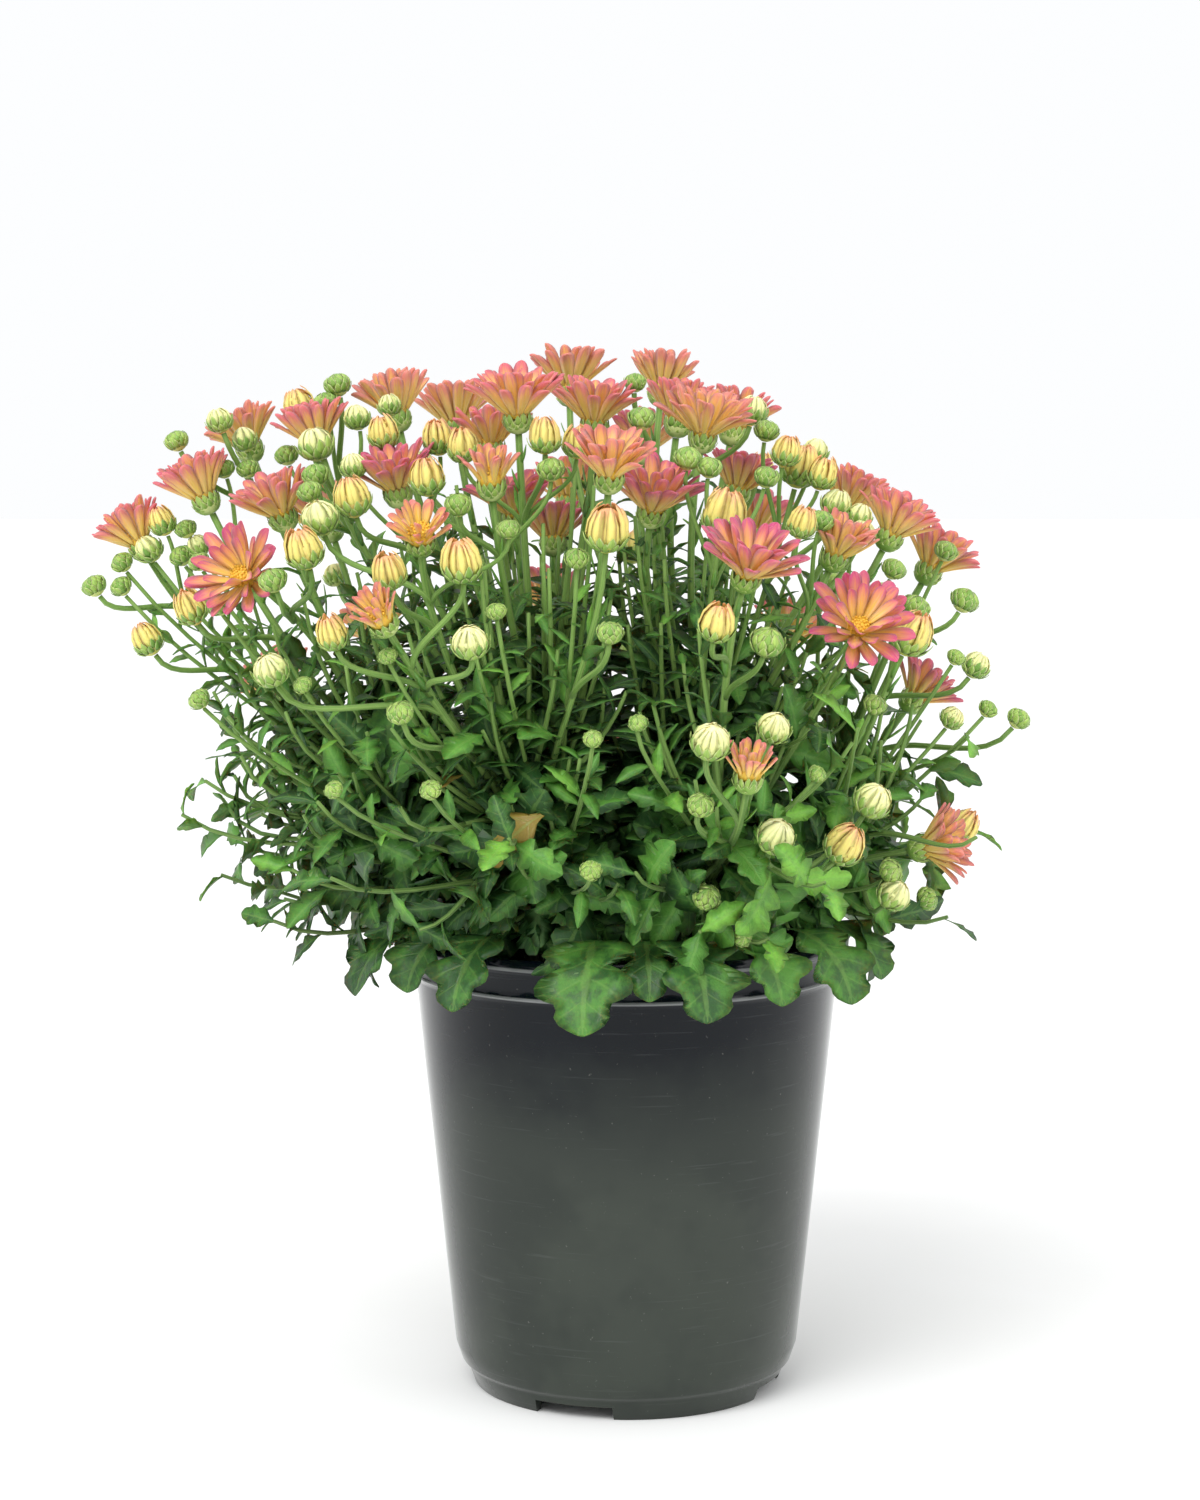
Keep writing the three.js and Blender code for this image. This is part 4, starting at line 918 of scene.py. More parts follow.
def makeOpenHead(h, name, tone):
    shell = Shell()
    turn = turnTo(h["facing"], h["spin"])
    reach = h["radius"] - bloomLook["core"]
    for w, (count, start, inwards, size) in enumerate(openHead["whorls"]):
        if h["radius"] < openHead["smallRadius"]:
            count = max(7, count - openHead["fewer"])
        angle = (np.arange(count) + start) / count * 2 * np.pi + rng.uniform(-0.09, 0.09, count)
        slope = mix(mix(*openHead["outerSlopes"], h["open"]), mix(*openHead["innerSlopes"], h["open"]), inwards)
        slope = np.radians(slope + rng.uniform(-6, 6, count))
        long = reach * size * rng.uniform(0.9, 1.06, count)
        radial = np.stack([np.cos(angle), np.sin(angle), np.zeros(count)], -1)
        base = radial * (bloomLook["core"] - 0.6 - inwards * 1.0)
        base = base + up * mix(bloomLook["outerStart"], bloomLook["innerStart"], inwards)
        along = radial * np.cos(slope)[:, None] + up * np.sin(slope)[:, None]
        upper = -radial * np.sin(slope)[:, None] + up * np.cos(slope)[:, None]
        long = long + 0.6 + inwards
        outline = np.broadcast_to(floretBlade, (count, *floretBlade.shape)).copy()
        outline[:, :, 2] *= (rng.uniform(0.78, 1.0, count) * (1.0 + 0.12 * (size < 0.8)))[:, None]
        blades(shell, h["seatPoint"] + base @ turn.T, along @ turn.T, upper @ turn.T, long,
               rng.uniform(-0.35, 0.3, count), outline, openHead["fold"], openHead["thick"],
               rng.uniform(0.35, 1.0, count) - 0.35 * inwards, 0, twist=rng.uniform(-0.4, 0.4, count), cells=4)
    turned(shell, h["seatPoint"][None], h["facing"][None], openHead["core"], 1.0, 16, 0.5, 1)
    n = openHead["discFlorets"]
    i = np.arange(n)
    flat = openHead["discRadius"] * np.sqrt((i + 0.5) / n)
    spot = np.stack([flat * np.cos(i * goldenTurn), flat * np.sin(i * goldenTurn),
                     openHead["discTop"] - 1.5 * (flat / openHead["discRadius"]) ** 2], -1)
    lean = unit(np.stack([spot[:, 0] * 0.12, spot[:, 1] * 0.12, np.ones(n)], -1))
    high = rng.uniform(1.3, 2.1, n)
    rise, wide = np.array(openHead["stub"]).T
    paths = spot[:, None] + lean[:, None] * (rise[None, :, None] * high[:, None, None])
    roundTubes(shell, h["seatPoint"] + paths @ turn.T, np.broadcast_to(wide, (n, len(wide))), 5, 0.0,
               rng.uniform(0, 1, n), 1)
    piece = shell.build("head_" + name[-2:], [floretMaterials[tone], discMaterial])
    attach(piece, "root")
    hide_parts(name)
    return piece


toneNames = {"o": "orange", "c": "coral", "m": "magenta"}
for i, h in enumerate(blooms):
    makeOpenHead(h, f"bloom_{i + 1:02d}", toneNames[bloomTones[i]])
print("open heads", len(blooms))


# buds, calyxes
budLook = {
    "body": [(-1.0, 0.22), (-0.86, 0.52), (-0.55, 0.84), (-0.1, 0.98), (0.35, 0.92), (0.7, 0.66), (0.88, 0.36),
             (0.95, 0.12)],
    "rows": {"g": (2.35, 1.9, 1.45, 1.0), "c": (2.5, 2.1), "y": (2.5, 2.15)},
    "scaleLong": {"g": 0.98, "c": 0.85, "y": 0.72}, "perRow": 11, "size": 0.9,
    "stretch": {"g": 0.66, "c": 0.95, "y": 1.28}, "florets": {"c": 14, "y": 15},
}


budScales = {"sway": 0.08, "tilt": 0.06, "long": (0.9, 1.12), "lift": (0.05, 0.25), "fold": -0.25}
calyxLook = {"radius": 5.25, "long": 4.6, "rows": ((2.75, 9), (2.35, 11), (1.95, 13)),
             "cup": [(-5.4, 1.5), (-4.9, 2.9), (-3.8, 4.2), (-2.0, 5.0), (-0.4, 5.1), (-0.15, 4.4)]}
calyxScales = {"sway": 0.07, "tilt": 0, "long": (0.85, 1.1), "lift": (0.02, 0.2), "fold": -0.2}


def scaleRow(shell, centres, axes, radii, row, count, polar, long, look):
    # a row of scales round each globe: each starts at the polar angle and follows its meridian upwards,
    # and every other row stands half a step on
    k = count * len(centres)
    sway = rng.uniform(-look["sway"], look["sway"], k)
    turn = np.tile((np.arange(count) + 0.5 * (row % 2)) / count * 2 * np.pi, len(centres)) + sway
    radius = np.repeat(radii, count)
    polar = np.full(k, polar)
    if look["tilt"]:
        polar = polar + rng.uniform(-look["tilt"], look["tilt"], k)
    place, way, out = onGlobe(np.repeat(centres, count, 0), np.repeat(axes, count, 0), radius, polar, turn)
    long = radius * long * rng.uniform(*look["long"], k)
    lift = rng.uniform(*look["lift"], k)[:, None]
    blades(shell, place, unit(way + out * lift), unit(out - way * lift), long, long / radius, scaleBlade,
           look["fold"], 0.25, rng.uniform(0, 1, k), 2, cells=3)


def makeBuds(shell, centres, axes, sizes, kind):
    # globes of scales: each scale starts on the globe at its row and follows its meridian upwards, and
    # folded florets go from under the scales to the top; above the middle all of it is stretched
    if len(centres) == 0:
        return
    axes, full = np.array(axes), np.array(sizes, float)
    sizes = full * budLook["size"]
    centres = np.array(centres) - axes * (full - sizes)[:, None]
    many = len(centres)
    start = len(shell.parts)
    much = budLook["stretch"][kind] * rng.uniform(0.95, 1.08, many)
    material = 4 if kind == "y" else 3
    turned(shell, centres, axes, budLook["body"], sizes * 0.93, 12, rng.uniform(0, 1, many), material)
    for row, polar in enumerate(budLook["rows"][kind]):
        scaleRow(shell, centres, axes, sizes * (0.98 + 0.015 * row), row, budLook["perRow"], polar,
                 budLook["scaleLong"][kind], budScales)
    if kind != "g":
        n = budLook["florets"][kind]
        turn = np.tile(np.arange(n) / n * 2 * np.pi, many) + rng.uniform(-0.2, 0.2, n * many)
        radius = np.repeat(sizes, n) * rng.uniform(0.92, 1.03, n * many)
        place, way, out = onGlobe(np.repeat(centres, n, 0), np.repeat(axes, n, 0), radius,
                                  np.full(n * many, 2.1), turn)
        long = radius * rng.uniform(1.6, 1.98, n * many)
        curve = long / radius * (1.0 if kind == "c" else rng.uniform(0.84, 1.0, n * many))
        outline = np.broadcast_to(budFloret, (n * many, *budFloret.shape)).copy()
        outline[:, :, 2] *= rng.uniform(0.95, 1.4, n * many)[:, None]
        blades(shell, place, way, out, long, curve, outline, -0.3, 0.3, rng.uniform(0, 1, n * many), material,
               cells=3, twist=rng.uniform(-0.35, 0.35, n * many))
    for part in shell.parts[start:]:
        points = part["corners"].reshape(many, -1, 3)
        rise = ((points - centres[:, None]) * axes[:, None]).sum(-1, keepdims=True)
        grow = np.where(rise > 0, much[:, None, None] - 1, 0)
        part["corners"] = (points + axes[:, None] * rise * grow).reshape(-1, 3)


def makeCalyxes(shell, seats, axes):
    # half a globe under each open head, in three rows of scales
    seats, axes = np.array(seats), np.array(axes)
    radii = np.full(len(seats), calyxLook["radius"])
    turned(shell, seats, axes, calyxLook["cup"], 1.0, 14, 0.3, 2)
    long = calyxLook["long"] / calyxLook["radius"]
    for row, (polar, count) in enumerate(calyxLook["rows"]):
        scaleRow(shell, seats, axes, radii, row, count, polar, long, calyxScales)


# stems with their leaves
stalkLeaves = {"gap": 8.5, "from": 0.04, "over": 0.76, "to": 0.82, "sizes": (35, 14),
               "spreads": (0.7, 1.15), "droops": (0.3, 1.1), "ages": (0.1, 0.95)}
bractLook = {"shares": (0.74, 0.98, 0.06), "sizes": (13, 6)}
leafShoots = {"perStem": 4, "long": (55, 95), "leaves": 6, "lowest": 185, "sizes": (36, 20),
              "spreads": (0.6, 1.1), "droops": (0.4, 1.2), "ages": (0.0, 0.85)}
fillShoots = {"count": 260, "rises": (-0.06, 1.0), "within": (0.34, 0.88), "gap": 9.5, "highest": 0.78,
              "starts": (0.25, 0.95), "upright": 0.5, "sizes": (36, 18), "lobes": (1.2, 0.75),
              "spreads": (0.6, 1.1), "droops": (0.2, 1.1), "ages": (0.0, 0.9)}
topShoots = {"count": 120, "rises": (0.22, 0.98), "within": (0.66, 0.86), "gap": 8.5, "highest": 0.82,
             "starts": (0.7, 1.0), "upright": 2.2, "sizes": (27, 11), "lobes": (0.35, 0.6),
             "spreads": (0.6, 1.1), "droops": (0.2, 1.1), "ages": (0.0, 0.9)}


eyePoint = np.array([eye["aside"], -eye["distance"], eye["height"]])
shownHeads = [(h["place"], h["radius"]) for h in heads if "column" in h]


def coversHead(base, tip):
    # leaves with their middle or their tip before a head that the picture shows, by their distance
    # from the line of sight to that head
    covers = np.zeros(len(base), bool)
    for place, radius in shownHeads:
        sight = unit(place - eyePoint)
        for spot in (mix(base, tip, 0.5), tip):
            ahead = (spot - eyePoint) @ sight
            off = np.linalg.norm(spot - eyePoint - ahead[:, None] * sight, axis=1)
            covers |= (ahead < np.linalg.norm(place - eyePoint)) & (off < radius * 0.85 + 3)
    return covers


boxLow = (np.array(cadBox[0]) - potAxis) * 1000 - 5
boxHigh = (np.array(cadBox[1]) - potAxis) * 1000 + 5


def outOf(way, turn):
    # square to a stalk's way, at that turn round it
    across = unit(np.cross([1.0, 0, 0], way))
    return across * np.cos(turn) + unit(np.cross(way, across)) * np.sin(turn)


def leafAxes(way, turn, spread):
    # along a leaf that leaves its stalk by the angle spread, and out of its upper face
    out = outOf(way, turn)
    return unit(out * np.sin(spread) + way * np.cos(spread)), unit(way * np.sin(spread) - out * np.cos(spread))


class Foliage:
    # leaves of one stem, gathered as rows and made at once
    def __init__(self):
        self.rows = []

    def add(self, base, way, turn, spread, long, droop, lobed, vary, fine=0):
        along, upper = leafAxes(way, turn, spread)
        self.rows.append((base, along, upper, long, droop, lobed, vary, fine))

    def grow(self, path, share, turn, long, lobed, look, flatter=1.0):
        # a leaf at that share of a path, with a size, spread, droop and age of its own
        long = long * rng.uniform(0.8, 1.15)
        self.add(path.at(share), path.way(share), turn, rng.uniform(*look["spreads"]) * flatter, long,
                 rng.uniform(*look["droops"]), float(np.clip(lobed, 0, 1)), rng.uniform(*look["ages"]))

    def lay(self, base, along, upper, long, droop, lobed, vary):
        self.rows.append((base, unit(along), unit(upper), long, droop, lobed, vary, 1))

    def make(self, shell):
        if not self.rows:
            return
        base, along, upper, long, droop, lobed, vary, fine = (np.array(c, float) for c in zip(*self.rows))
        tip = base + along * long[:, None]
        kept = ((tip > boxLow) & (tip < boxHigh)).all(1) & ((fine == 1) | ~coversHead(base, tip))
        middle, reach = [crown["x"], 0, crown["z"]], [crown["wide"], crown["deep"], crown["tall"]]
        depth = np.linalg.norm((base - middle) / reach, axis=1)  # 0 in the crown's middle, 1 at its outside
        light = np.minimum(vary * mix(0.2, 1.2, smooth(0.4, 0.95, depth)), 0.97)
        vary = np.where(vary < 0.98, light, vary)  # painted shade: inner leaves darker and outer ones lighter, by their depth in the crown
        for rows, cells, wanted in ((smallLobedLeaf, 3, 0), (lobedLeaf, 5, 1)):
            own = kept & (fine == wanted)
            k = int(own.sum())
            if k == 0:
                continue
            outline = mix(plainOutline(rows)[None], rows[None], lobed[own][:, None, None])
            outline[:, :, 2] *= rng.uniform(0.92, 1.15, k)[:, None] * mix(1.0, 1.12, lobed[own])[:, None]
            fold = leafLook["fold"] + rng.uniform(-0.1, 0.15, k)
            blades(shell, base[own], along[own], upper[own], long[own], droop[own], outline, fold, 0.3,
                   vary[own], 1, twist=rng.uniform(-0.5, 0.5, k), cells=cells, wave=0.08)


def tipOf(base, way, turn, spread, long, droop):
    # where the point of that leaf lies
    along, upper = leafAxes(way, turn, spread)
    lift = np.cross(along, unit(np.cross(upper, along)))
    return base + along * np.sin(droop) / droop * long - lift * (1 - np.cos(droop)) / droop * long


def plainLeafOf(stem, host, steps, start, turn, long, spread):
    # finds the plain leaf of that place, by its point, among the ways that it could have grown
    base, way = host.chord(steps, start), host.way(start)
    for size in (1, 0.72):
        for shift in (0, 0.6, -0.6, 1.3, -1.3, 2.2, -2.2, 3.1):
            tip = tipOf(base, way, turn + shift, spread, long * size, leafLook["droop"])
            if (np.linalg.norm(stem["corners"] - tip, axis=1) < 0.05).any():
                return base, way, turn + shift, long * size
    return base, way, turn + rng.uniform(-1, 1), 0


foundLeaves = 0
for s in stems:
    s["foliage"] = Foliage()
    for i in range(leafLook["perStem"]):
        share = i / (leafLook["perStem"] - 1)
        long = mix(leafLook["longest"], leafLook["shortest"] + 8, share)
        turn = i * goldenTurn + draw(0, 1)
        base, way, turn, long = plainLeafOf(s, s["path"], mainStems["steps"], mix(0.3, 0.96, share), turn, long, 1)
        if long:
            foundLeaves += 1
            s["foliage"].add(base, way, turn, 1, long, leafLook["droop"], 1, rng.uniform(0.05, 0.6), 1)
    for i, each in enumerate(s["stalks"]):
        long = draw(leafLook["shortest"], leafLook["shortest"] + 8)
        turn = i * goldenTurn + draw(0, 1)
        spots = [(0.28, turn, long, 0.85)] + ([(0.5, i * goldenTurn + 2, long * 0.8, 0.75)] if i % 2 == 0 else [])
        for start, turn, size, spread in spots:
            base, way, turn, size = plainLeafOf(s, each["path"], each["steps"], start, turn, size, spread)
            if size:
                foundLeaves += 1
                s["foliage"].add(base, way, turn, spread, size, leafLook["droop"], 0.8, rng.uniform(0.1, 0.8), 1)
print("plain leaves found", foundLeaves)

# leaves that hang over the rim, each on a shoot from the nearest outer stem
outerStems = stems[: mainStems["outer"][0]]
for turn, long in rimLeaves:
    angle = np.radians(turn - 90)
    out = np.array([np.cos(angle), np.sin(angle), 0])
    stem = max(outerStems, key=lambda s: s["base"] @ out)
    start = stem["path"].chord(mainStems["steps"], 0.42)
    lip = out * 80.5 + up * 181
    path = Path(start, mix(start, lip, 0.4) + up * 10, mix(lip, start, 0.3) + up * 6, lip)
    stem["rim"].append(path)
    stem["foliage"].lay(lip - out * 2, unit(out + up * 0.1), up, long, leafLook["rimDroop"], 1,
                        rng.uniform(0.3, 0.75))
    if long > 40:
        for share, swing in ((0.55, 1.2), (0.8, -1.1)):
            stem["foliage"].add(path.at(share), path.way(share), swing, 0.9, long * 0.55, 0.8, 0.6,
                                rng.uniform(0.3, 0.9))


def dressStem(s):
    # finer leaves and bracts up each stalk, and leafy side shoots
    foliage, shoots, bracts = s["foliage"], [], []
    for path in [each["path"] for each in s["stalks"]]:
        look = stalkLeaves
        count = int(path.long * look["over"] / look["gap"])
        first = rng.uniform(0, 6.28)
        for i in range(count):
            share = look["from"] + look["over"] * (i + rng.uniform(-0.25, 0.25)) / max(1, count)
            share = min(look["to"], max(0.03, share))
            foliage.grow(path, share, first + i * goldenTurn, mix(*look["sizes"], share / look["to"]),
                         1.25 - 1.9 * share, look, mix(1.0, 0.7, share))
        for share in np.arange(*bractLook["shares"]):
            share = share + rng.uniform(-0.02, 0.02)
            bracts.append((path.at(share), path.way(share), rng.uniform(0, 6.28),
                           mix(*bractLook["sizes"], (share - 0.7) / 0.27)))
    for i in range(leafShoots["perStem"]):
        start = mix(0.3, 1.0, (i + 0.5) / leafShoots["perStem"])
        foot, way = s["path"].at(start), s["path"].way(start)
        turn = i * goldenTurn * 1.7 + rng.uniform(0, 1)
        outward = unit(np.array([s["hub"][0] * 0.8, s["hub"][1], 0]) + 1e-6)
        aim = unit(way * 0.7 + outOf(way, turn) * 0.8 + outward * 0.25)
        long = rng.uniform(*leafShoots["long"])
        end = foot + aim * long
        end[:2] = np.clip(end[:2], boxLow[:2] + 30, boxHigh[:2] - 30)
        end[2] = max(end[2], leafShoots["lowest"])
        path = Path(foot, foot + way * long * 0.3, end - unit(aim + up * 0.6) * long * 0.3, end)
        shoots.append(path)
        for j in range(leafShoots["leaves"]):
            share = mix(0.2, 0.98, j / (leafShoots["leaves"] - 1))
            size, lobed = mix(*leafShoots["sizes"], share), 1.2 - 0.7 * share
            foliage.grow(path, share, j * goldenTurn + turn, size, lobed, leafShoots)
    return shoots, bracts


# the lower small buds stand on long leafy stalks of their own, the others branch off near their heads
lowBuds = {"below": 540, "gap": 10.5, "starts": (0.35, 0.85), "sizes": (30, 8)}
for column, row, share, radius, kind in smallBuds:
    place = seenAt(column, row, depthOf(column, row, share))
    facing = facingAt(place, lifts["bud"])
    foot = place - facing * radius
    if row > lowBuds["below"]:
        s = max(stems, key=lambda each: unit(foot - each["base"]) @ unit(each["hub"] - each["base"]))
        start = mix(*lowBuds["starts"], (len(s["rim"]) * goldenShare) % 1)
        first, way = s["path"].at(start), s["path"].way(start)
        span = np.linalg.norm(foot - first)
        facing = unit(facing + unit(foot - first))
        leave = unit(unit(foot - first) + way * 0.8)
        path = Path(first, first + leave * span * 0.35, foot - facing * span * 0.25, foot)
        for j in range(int(path.long / lowBuds["gap"])):
            at = mix(0.2, 0.97, j / (path.long / lowBuds["gap"]))
            s["foliage"].add(path.at(at), path.way(at), j * goldenTurn + column, rng.uniform(0.6, 1.05),
                             mix(*lowBuds["sizes"], at) * rng.uniform(0.8, 1.15), rng.uniform(0.2, 0.9),
                             float(np.clip(1.1 - 1.3 * at, 0, 1)), rng.uniform(0.3, 1.0))
    else:
        places = placesBelow(foot, stalks, 30, 14)[:24]
        leaving = [cost + 30 * (1 - unit(foot - parent["path"].at(start)) @ parent["path"].way(start))
                   for cost, start, parent in places]
        _, start, parent = places[int(np.argmin(leaving))]
        path = branchPath(parent["path"], parent["steps"], start, foot, facing, (0, 0))
        s = parent["stem"]
    head = {"kind": "bud", "place": place, "facing": facing, "radius": radius, "type": kind}
    shownHeads.append((place, radius))
    budStalks.append({"stem": s, "head": head, "path": path, "small": True})

# a withered leaf between the stalks, seen a little left of the middle
witheredLeaf = {"column": 548, "row": 812, "share": 0.68, "along": (-0.8, -0.35, -0.35), "upper": (0, -0.7, 0.6),
                "long": 30, "droop": 1.3, "lobed": 0.6, "vary": 0.999}
column, row = witheredLeaf["column"], witheredLeaf["row"]
place = seenAt(column, row, depthOf(column, row, witheredLeaf["share"]))
s = min(stems, key=lambda each: np.linalg.norm(each["hub"] - place))
foot = s["path"].at(0.5)
s["rim"].append(Path(foot, mix(foot, place, 0.4) + up * 6, mix(foot, place, 0.75) + up * 4, place))
s["foliage"].lay(place, *(witheredLeaf[key] for key in ("along", "upper", "long", "droop", "lobed", "vary")))

# leafy shoots between the stalks, to points spread evenly through the crown: leaning ones with broad
# leaves low down, upright ones with narrow leaves up to the heads
for look in (fillShoots, topShoots):
    for i in range(look["count"]):
        rise = mix(*look["rises"], (i * 0.7548777) % 1)
        turn = 2 * np.pi * ((i * 0.5698403 + 0.13) % 1)
        within = mix(*look["within"], (i * goldenShare) % 1) * mix(0.85, 1.0, smooth(0.0, 0.3, rise))
        flat = np.sqrt(max(0, 1 - rise * rise)) * within
        end = np.array([crown["x"] + crown["wide"] * flat * np.cos(turn), crown["deep"] * flat * np.sin(turn),
                        crown["z"] + crown["tall"] * min(look["highest"], rise * within)])
        if (end[:2] < boxLow[:2] + 22).any() or (end[:2] > boxHigh[:2] - 22).any():
            continue
        s = min(stems, key=lambda each: np.linalg.norm(each["hub"] - end))
        start = mix(*look["starts"], (i * 0.37) % 1)
        foot, way = s["path"].at(start), s["path"].way(start)
        span = np.linalg.norm(end - foot)
        arrive = unit(end - foot + up * span * look["upright"])
        path = Path(foot, foot + unit(way + unit(end - foot)) * span * 0.35, end - arrive * span * 0.35, end)
        s["rim"].append(path)
        count = max(5, int(path.long / look["gap"]))
        for j in range(count):
            share = mix(0.22, 0.99, j / (count - 1))
            size = mix(*look["sizes"], share) * mix(1.0, 0.8, max(0, rise))
            lobed = look["lobes"][0] - look["lobes"][1] * share - 0.9 * max(0, rise)
            s["foliage"].grow(path, share, j * goldenTurn + turn, size, lobed, look)

sprayLook = {"rootLong": 22, "stalkWidth": 0.88, "budStalkWidth": 0.9, "smallStalkWidth": 0.7,
             "shootRadii": (1.3, 0.7)}


def taper(look, rings):
    return mix(look["radius"], look["tipRadius"], np.linspace(0, 1, rings))


def lines(each, rings):
    # the middle lines of many paths, ring by ring
    return np.array([path.at(np.linspace(0, 1, rings)) for path in each])


def makeSpray(s):
    # one leafy stem with all that grows on it
    shell = Shell()
    shoots, bracts = dressStem(s)
    main = lines([s["path"]], 15)
    main = np.concatenate([main[:, :1] - up * sprayLook["rootLong"], main], 1)
    roundTubes(shell, main, np.concatenate([[mainStems["radius"]], taper(mainStems, 15)])[None], 10, 0.07, 0.2, 0)
    tall = [each for each in s["stalks"] if each["full"]]
    if tall:
        radii = taper(stalkLook, 18)[None] * sprayLook["stalkWidth"]
        roundTubes(shell, lines([each["path"] for each in tall], 18), radii, 10, 0.08,
                   rng.uniform(0, 1, len(tall)), 0)
        tops = [each["head"] for each in tall]
        makeCalyxes(shell, [h["seatPoint"] for h in tops], [h["facing"] for h in tops])
    short = [each for each in budStalks if each["stem"] is s]
    short += [each for each in s["stalks"] if not each["full"]]
    if short:
        widths = [sprayLook["smallStalkWidth" if each.get("small") else "budStalkWidth"] for each in short]
        radii = taper(budStalkLook, 11)[None] * np.array(widths)[:, None]
        roundTubes(shell, lines([each["path"] for each in short], 11), radii, 8, 0.0,
                   rng.uniform(0, 1, len(short)), 0)
        for kind in "gcy":
            some = [each["head"] for each in short if each["head"]["type"] == kind]
            makeBuds(shell, *([h[key] for h in some] for key in ("place", "facing", "radius")), kind)
    thin = shoots + s["rim"]
    roundTubes(shell, lines(thin, 10), np.linspace(*sprayLook["shootRadii"], 10)[None], 7, 0.0,
               rng.uniform(0, 1, len(thin)), 0)
    if bracts:
        base, way, turn, long = (np.array(c, float) for c in zip(*bracts))
        across, over = sideways(way)
        out = across * np.cos(turn)[:, None] + over * np.sin(turn)[:, None]
        blades(shell, base + out * 1.2, unit(out * 0.55 + way), unit(way * 0.55 - out), long, -0.4, bractLeaf,
               0.3, 0.25, rng.uniform(0.5, 1, len(base)), 1, cells=3)
    s["foliage"].make(shell)
    piece = shell.build(s["name"].replace("stem", "spray"),
                        [stalkMaterial, leafMaterial, scaleMaterial, creamMaterial, yellowMaterial])
    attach(piece, "root")
    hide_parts(s["name"])


for s in stems:
    makeSpray(s)
print("sprays", len(stems), "leaves", sum(len(s["foliage"].rows) for s in stems))


# soil
soilLook = {"top": 151, "edge": 148, "radius": 77.0, "rings": 22, "sides": 96, "crumbs": 620,
            "sidesUp": [(50, 8.5), (57, 9.6), (62.6, 17), (70, 90), (77.0, 140), (77.3, 147.4)]}


def soilTop(r):
    # the mound's height, falling with the square of the distance from the axis
    return mix(soilLook["top"], soilLook["edge"], (r / soilLook["radius"]) ** 2)


def makeSoil():
    # a closed mound: profile (r, z) turned round, its top roughened by crossing waves
    shell = Shell()
    low = np.array(soilLook["sidesUp"], float)
    r = np.linspace(soilLook["radius"], 2, soilLook["rings"])
    high = np.stack([r, soilTop(r)], -1)
    profile = np.concatenate([low, high])
    turn = np.arange(soilLook["sides"]) / soilLook["sides"] * 2 * np.pi
    x = profile[:, :1] * np.cos(turn)
    y = profile[:, :1] * np.sin(turn)
    rough = (np.sin(x * 0.31 + 1.3 * np.sin(y * 0.23)) + np.sin(y * 0.37 + 1.1 * np.sin(x * 0.29 + 2))
             + 0.5 * np.sin(x * 0.9 + y * 0.7) + 0.5 * np.sin(x * 0.8 - y * 1.1))
    z = profile[:, 1:] + rough * 0.45 * (np.arange(len(profile))[:, None] > len(low))
    points = np.stack([x, y, z], -1)[None]
    first = np.array([[0, 0, 8.5]])
    last = points[:, -1].mean(1)
    shell.tubes(points, first, last, np.arange(soilLook["sides"] + 1) / soilLook["sides"],
                np.linspace(0, 1, len(profile)), 0.5, np.zeros(soilLook["sides"]), 0)
    n = soilLook["crumbs"]
    flat = 75.5 * np.sqrt(rng.uniform(0, 1, n))
    angle = rng.uniform(0, 2 * np.pi, n)
    size = rng.uniform(0.5, 1.9, n)
    spot = np.stack([flat * np.cos(angle), flat * np.sin(angle),
                     soilTop(flat) + 0.3], -1)
    axis = unit(rng.normal(size=(n, 3)))
    turned(shell, spot, axis, [(-0.9, 0.5), (-0.3, 1.0), (0.4, 0.85), (0.9, 0.45)], size, 5, 0.5, 0)
    piece = shell.build("soil_fill", [soilMaterial])
    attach(piece, "root")
    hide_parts("soil")


makeSoil()
print("soil")


# pot
potLook = {
    "sides": 160,
    "outside": [(52.5, 6), (53.5, 0.6), (54.1, 0), (57.4, 0), (58, 0.6), (60.3, 7.0), (60.9, 8.1), (62.3, 9.0),
                (62.8, 9.8), (64.9, 16), (68.6, 51), (72.2, 86), (75.9, 121), (79.3, 155.0), (79.6, 156.0),
                (80.7, 157.0), (80.95, 157.6), (80.6, 158.4), (80.2, 159.2), (80.9, 163), (81.45, 166.4),
                (81.8, 167.0), (82.4, 167.6), (82.5, 168.4), (82.3, 169.4), (82.0, 171.2), (81.4, 171.9),
                (79.9, 171.9), (79.4, 171.4)],
    "inside": [(78.6, 163), (78.0, 156), (73.2, 109), (68.2, 62), (63.3, 16), (61.5, 11), (58.6, 9), (40, 8),
               (12, 8)],
    "notches": (-20, 70, 160, 250), "notchWide": 30, "notchHigh": 5, "holeRadius": 5, "holeAt": 44,
}


def cutter(name, points, faces):
    mesh = bpy.data.meshes.new(name)
    mesh.from_pydata(points.tolist(), [], faces)
    mesh.update()
    obj = bpy.data.objects.new(name, mesh)
    bpy.context.scene.collection.objects.link(obj)
    return obj


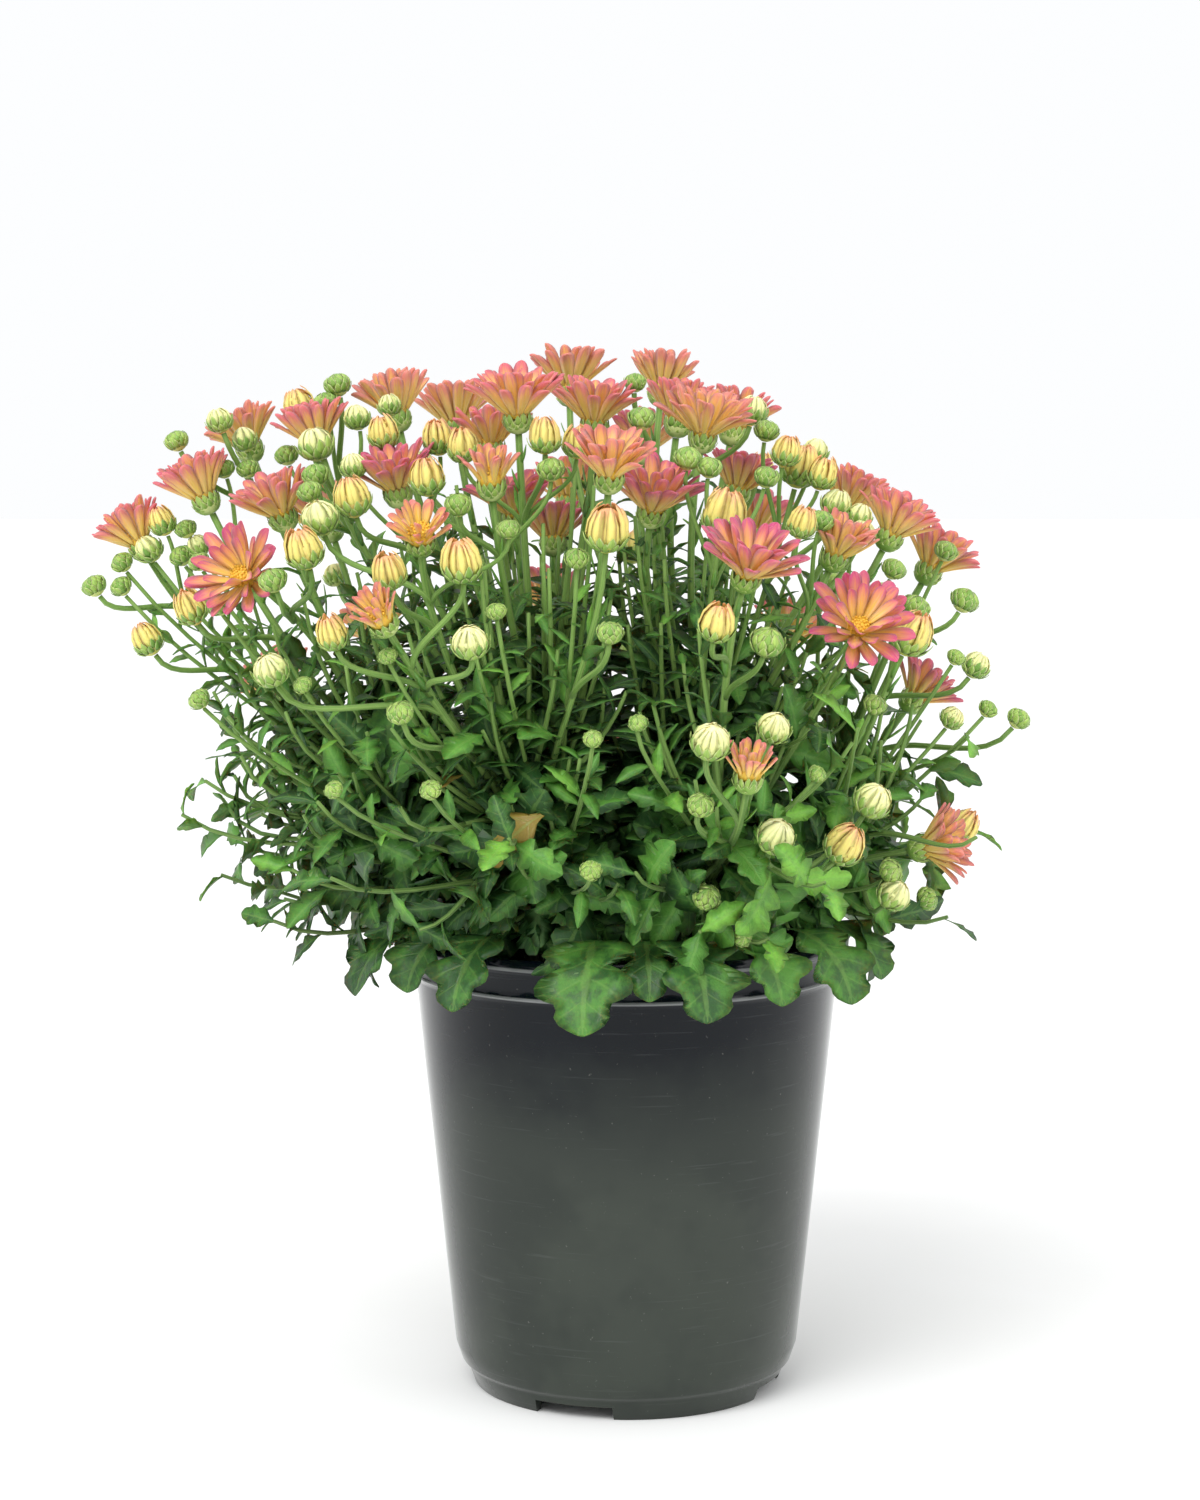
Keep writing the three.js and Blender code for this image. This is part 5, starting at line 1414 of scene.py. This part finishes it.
def makePot():
    # the wall's profile turned round the axis, then cut for the foot notches and the drain holes
    shell = Shell()
    profile = np.array(potLook["outside"] + potLook["inside"], float)
    turn = np.arange(potLook["sides"]) / potLook["sides"] * 2 * np.pi
    ring = np.stack([np.cos(turn), np.sin(turn)], -1)
    high = np.broadcast_to(profile[:, None, 1:], (len(profile), len(turn), 1))
    points = np.concatenate([profile[:, None, :1] * ring, high], -1)
    shell.tubes(points[None], np.array([[0, 0, 6.0]]), np.array([[0, 0, 8.0]]),
                np.arange(potLook["sides"] + 1) / potLook["sides"], np.linspace(0, 1, len(profile)), 0.5,
                np.zeros(potLook["sides"]), 0)
    piece = shell.build("pot_shell", [potMaterial])
    cutters = []
    for i, degrees in enumerate(potLook["notches"]):
        a = np.radians(degrees)
        turnZ = np.array([[np.cos(a), -np.sin(a), 0], [np.sin(a), np.cos(a), 0], [0, 0, 1]])
        w, h = potLook["notchWide"] / 2, potLook["notchHigh"]
        box = np.array([(x, -58 + y, z) for x in (-w, w) for y in (-15, 15) for z in (-h, h)])
        faces = [(0, 1, 3, 2), (4, 6, 7, 5), (0, 4, 5, 1), (2, 3, 7, 6), (0, 2, 6, 4), (1, 5, 7, 3)]
        cutters.append(cutter(f"notch_{i}", box @ turnZ.T * 0.001 + potAxis, faces))
        t = np.arange(16) / 16 * 2 * np.pi
        ring = potLook["holeRadius"] * np.stack([np.cos(t), np.sin(t)], -1) - [0, potLook["holeAt"]]
        rod = np.concatenate([np.c_[ring, np.full(16, -2.0)], np.c_[ring, np.full(16, 18.0)]])
        sides = [(j, (j + 1) % 16, 16 + (j + 1) % 16, 16 + j) for j in range(16)]
        faces = sides + [tuple(range(15, -1, -1)), tuple(range(16, 32))]
        cutters.append(cutter(f"hole_{i}", rod @ turnZ.T * 0.001 + potAxis, faces))
    for each in cutters:
        cut = piece.modifiers.new(each.name, "BOOLEAN")
        cut.operation = "DIFFERENCE"
        cut.solver = "EXACT"
        cut.object = each
    bpy.context.view_layer.update()
    ready = piece.evaluated_get(bpy.context.evaluated_depsgraph_get())
    mesh = bpy.data.meshes.new_from_object(ready)
    piece.modifiers.clear()
    piece.data = mesh
    for each in cutters:
        bpy.data.objects.remove(each)
    mesh.polygons.foreach_set("use_smooth", np.ones(len(mesh.polygons), bool))
    mesh.set_sharp_from_angle(angle=np.radians(38))
    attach(piece, "root")
    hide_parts("pot")


makePot()
print("pot")


# floor, light, camera
def makeStage():
    mesh = bpy.data.meshes.new("floor")
    far = 14.0
    mesh.from_pydata([(-far, -far, 0), (far, -far, 0), (far, far, 0), (-far, far, 0)], [], [(0, 1, 2, 3)])
    floor = bpy.data.objects.new("floor", mesh)
    bpy.context.scene.collection.objects.link(floor)
    material = bpy.data.materials.new("floor_paper")
    material.use_nodes = True
    tree = material.node_tree
    surface = tree.nodes["Principled BSDF"]
    surface.inputs["Roughness"].default_value = 0.9
    surface.inputs["Specular IOR Level"].default_value = 0.1
    spot = tree.nodes.new("ShaderNodeTexCoord").outputs["Object"]
    soft = use(mottle, {"Vector": spot, "Scale": 3.0})
    tree.links.new(blend(soft, (0.88, 0.88, 0.87), (0.90, 0.90, 0.895)), surface.inputs["Base Color"])
    mesh.materials.append(material)
    floor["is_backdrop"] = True
    world = bpy.data.worlds.new("studio")
    bpy.context.scene.world = world
    world.use_nodes = True
    world.node_tree.nodes["Background"].inputs[0].default_value = (0.98, 0.99, 1.0, 1)
    world.node_tree.nodes["Background"].inputs[1].default_value = 1.0
    sky = bpy.data.lights.new("evenSun", "SUN")
    sky.energy = 1.2
    sky.angle = 0.6
    sun = bpy.data.objects.new("evenSun", sky)
    sun.rotation_euler = (0.65, -0.35, 0)
    bpy.context.scene.collection.objects.link(sun)
    lights = [("key", (-0.9, -1.2, 1.7), 0.9, 10), ("fill", (1.3, -0.9, 1.0), 1.2, 5)]
    for name, place, size, power in lights:
        data = bpy.data.lights.new(name, "AREA")
        data.size = size
        data.energy = power
        lamp = bpy.data.objects.new(name, data)
        lamp.location = place
        way = np.array([0, 0, 0.22]) - np.array(place)
        lamp.rotation_mode = "QUATERNION"
        lamp.rotation_quaternion = mathutils.Vector(way).to_track_quat("-Z", "Y")
        bpy.context.scene.collection.objects.link(lamp)
    data = bpy.data.cameras.new("camera")
    data.sensor_width = 36
    data.lens = eye["focal"] / 1500 * 36
    data.clip_end = 50
    camera = bpy.data.objects.new("camera", data)
    camera.location = potAxis + np.array([eye["aside"], -eye["distance"], eye["height"]]) * 0.001
    camera.rotation_euler = (np.pi / 2 - eye["dip"], 0, 0)
    bpy.context.scene.collection.objects.link(camera)
    bpy.context.scene.camera = camera
    bpy.context.scene.view_settings.view_transform = "Standard"


makeStage()
lowCorner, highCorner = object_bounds()
print("size", [round(v, 4) for v in lowCorner], [round(v, 4) for v in highCorner])
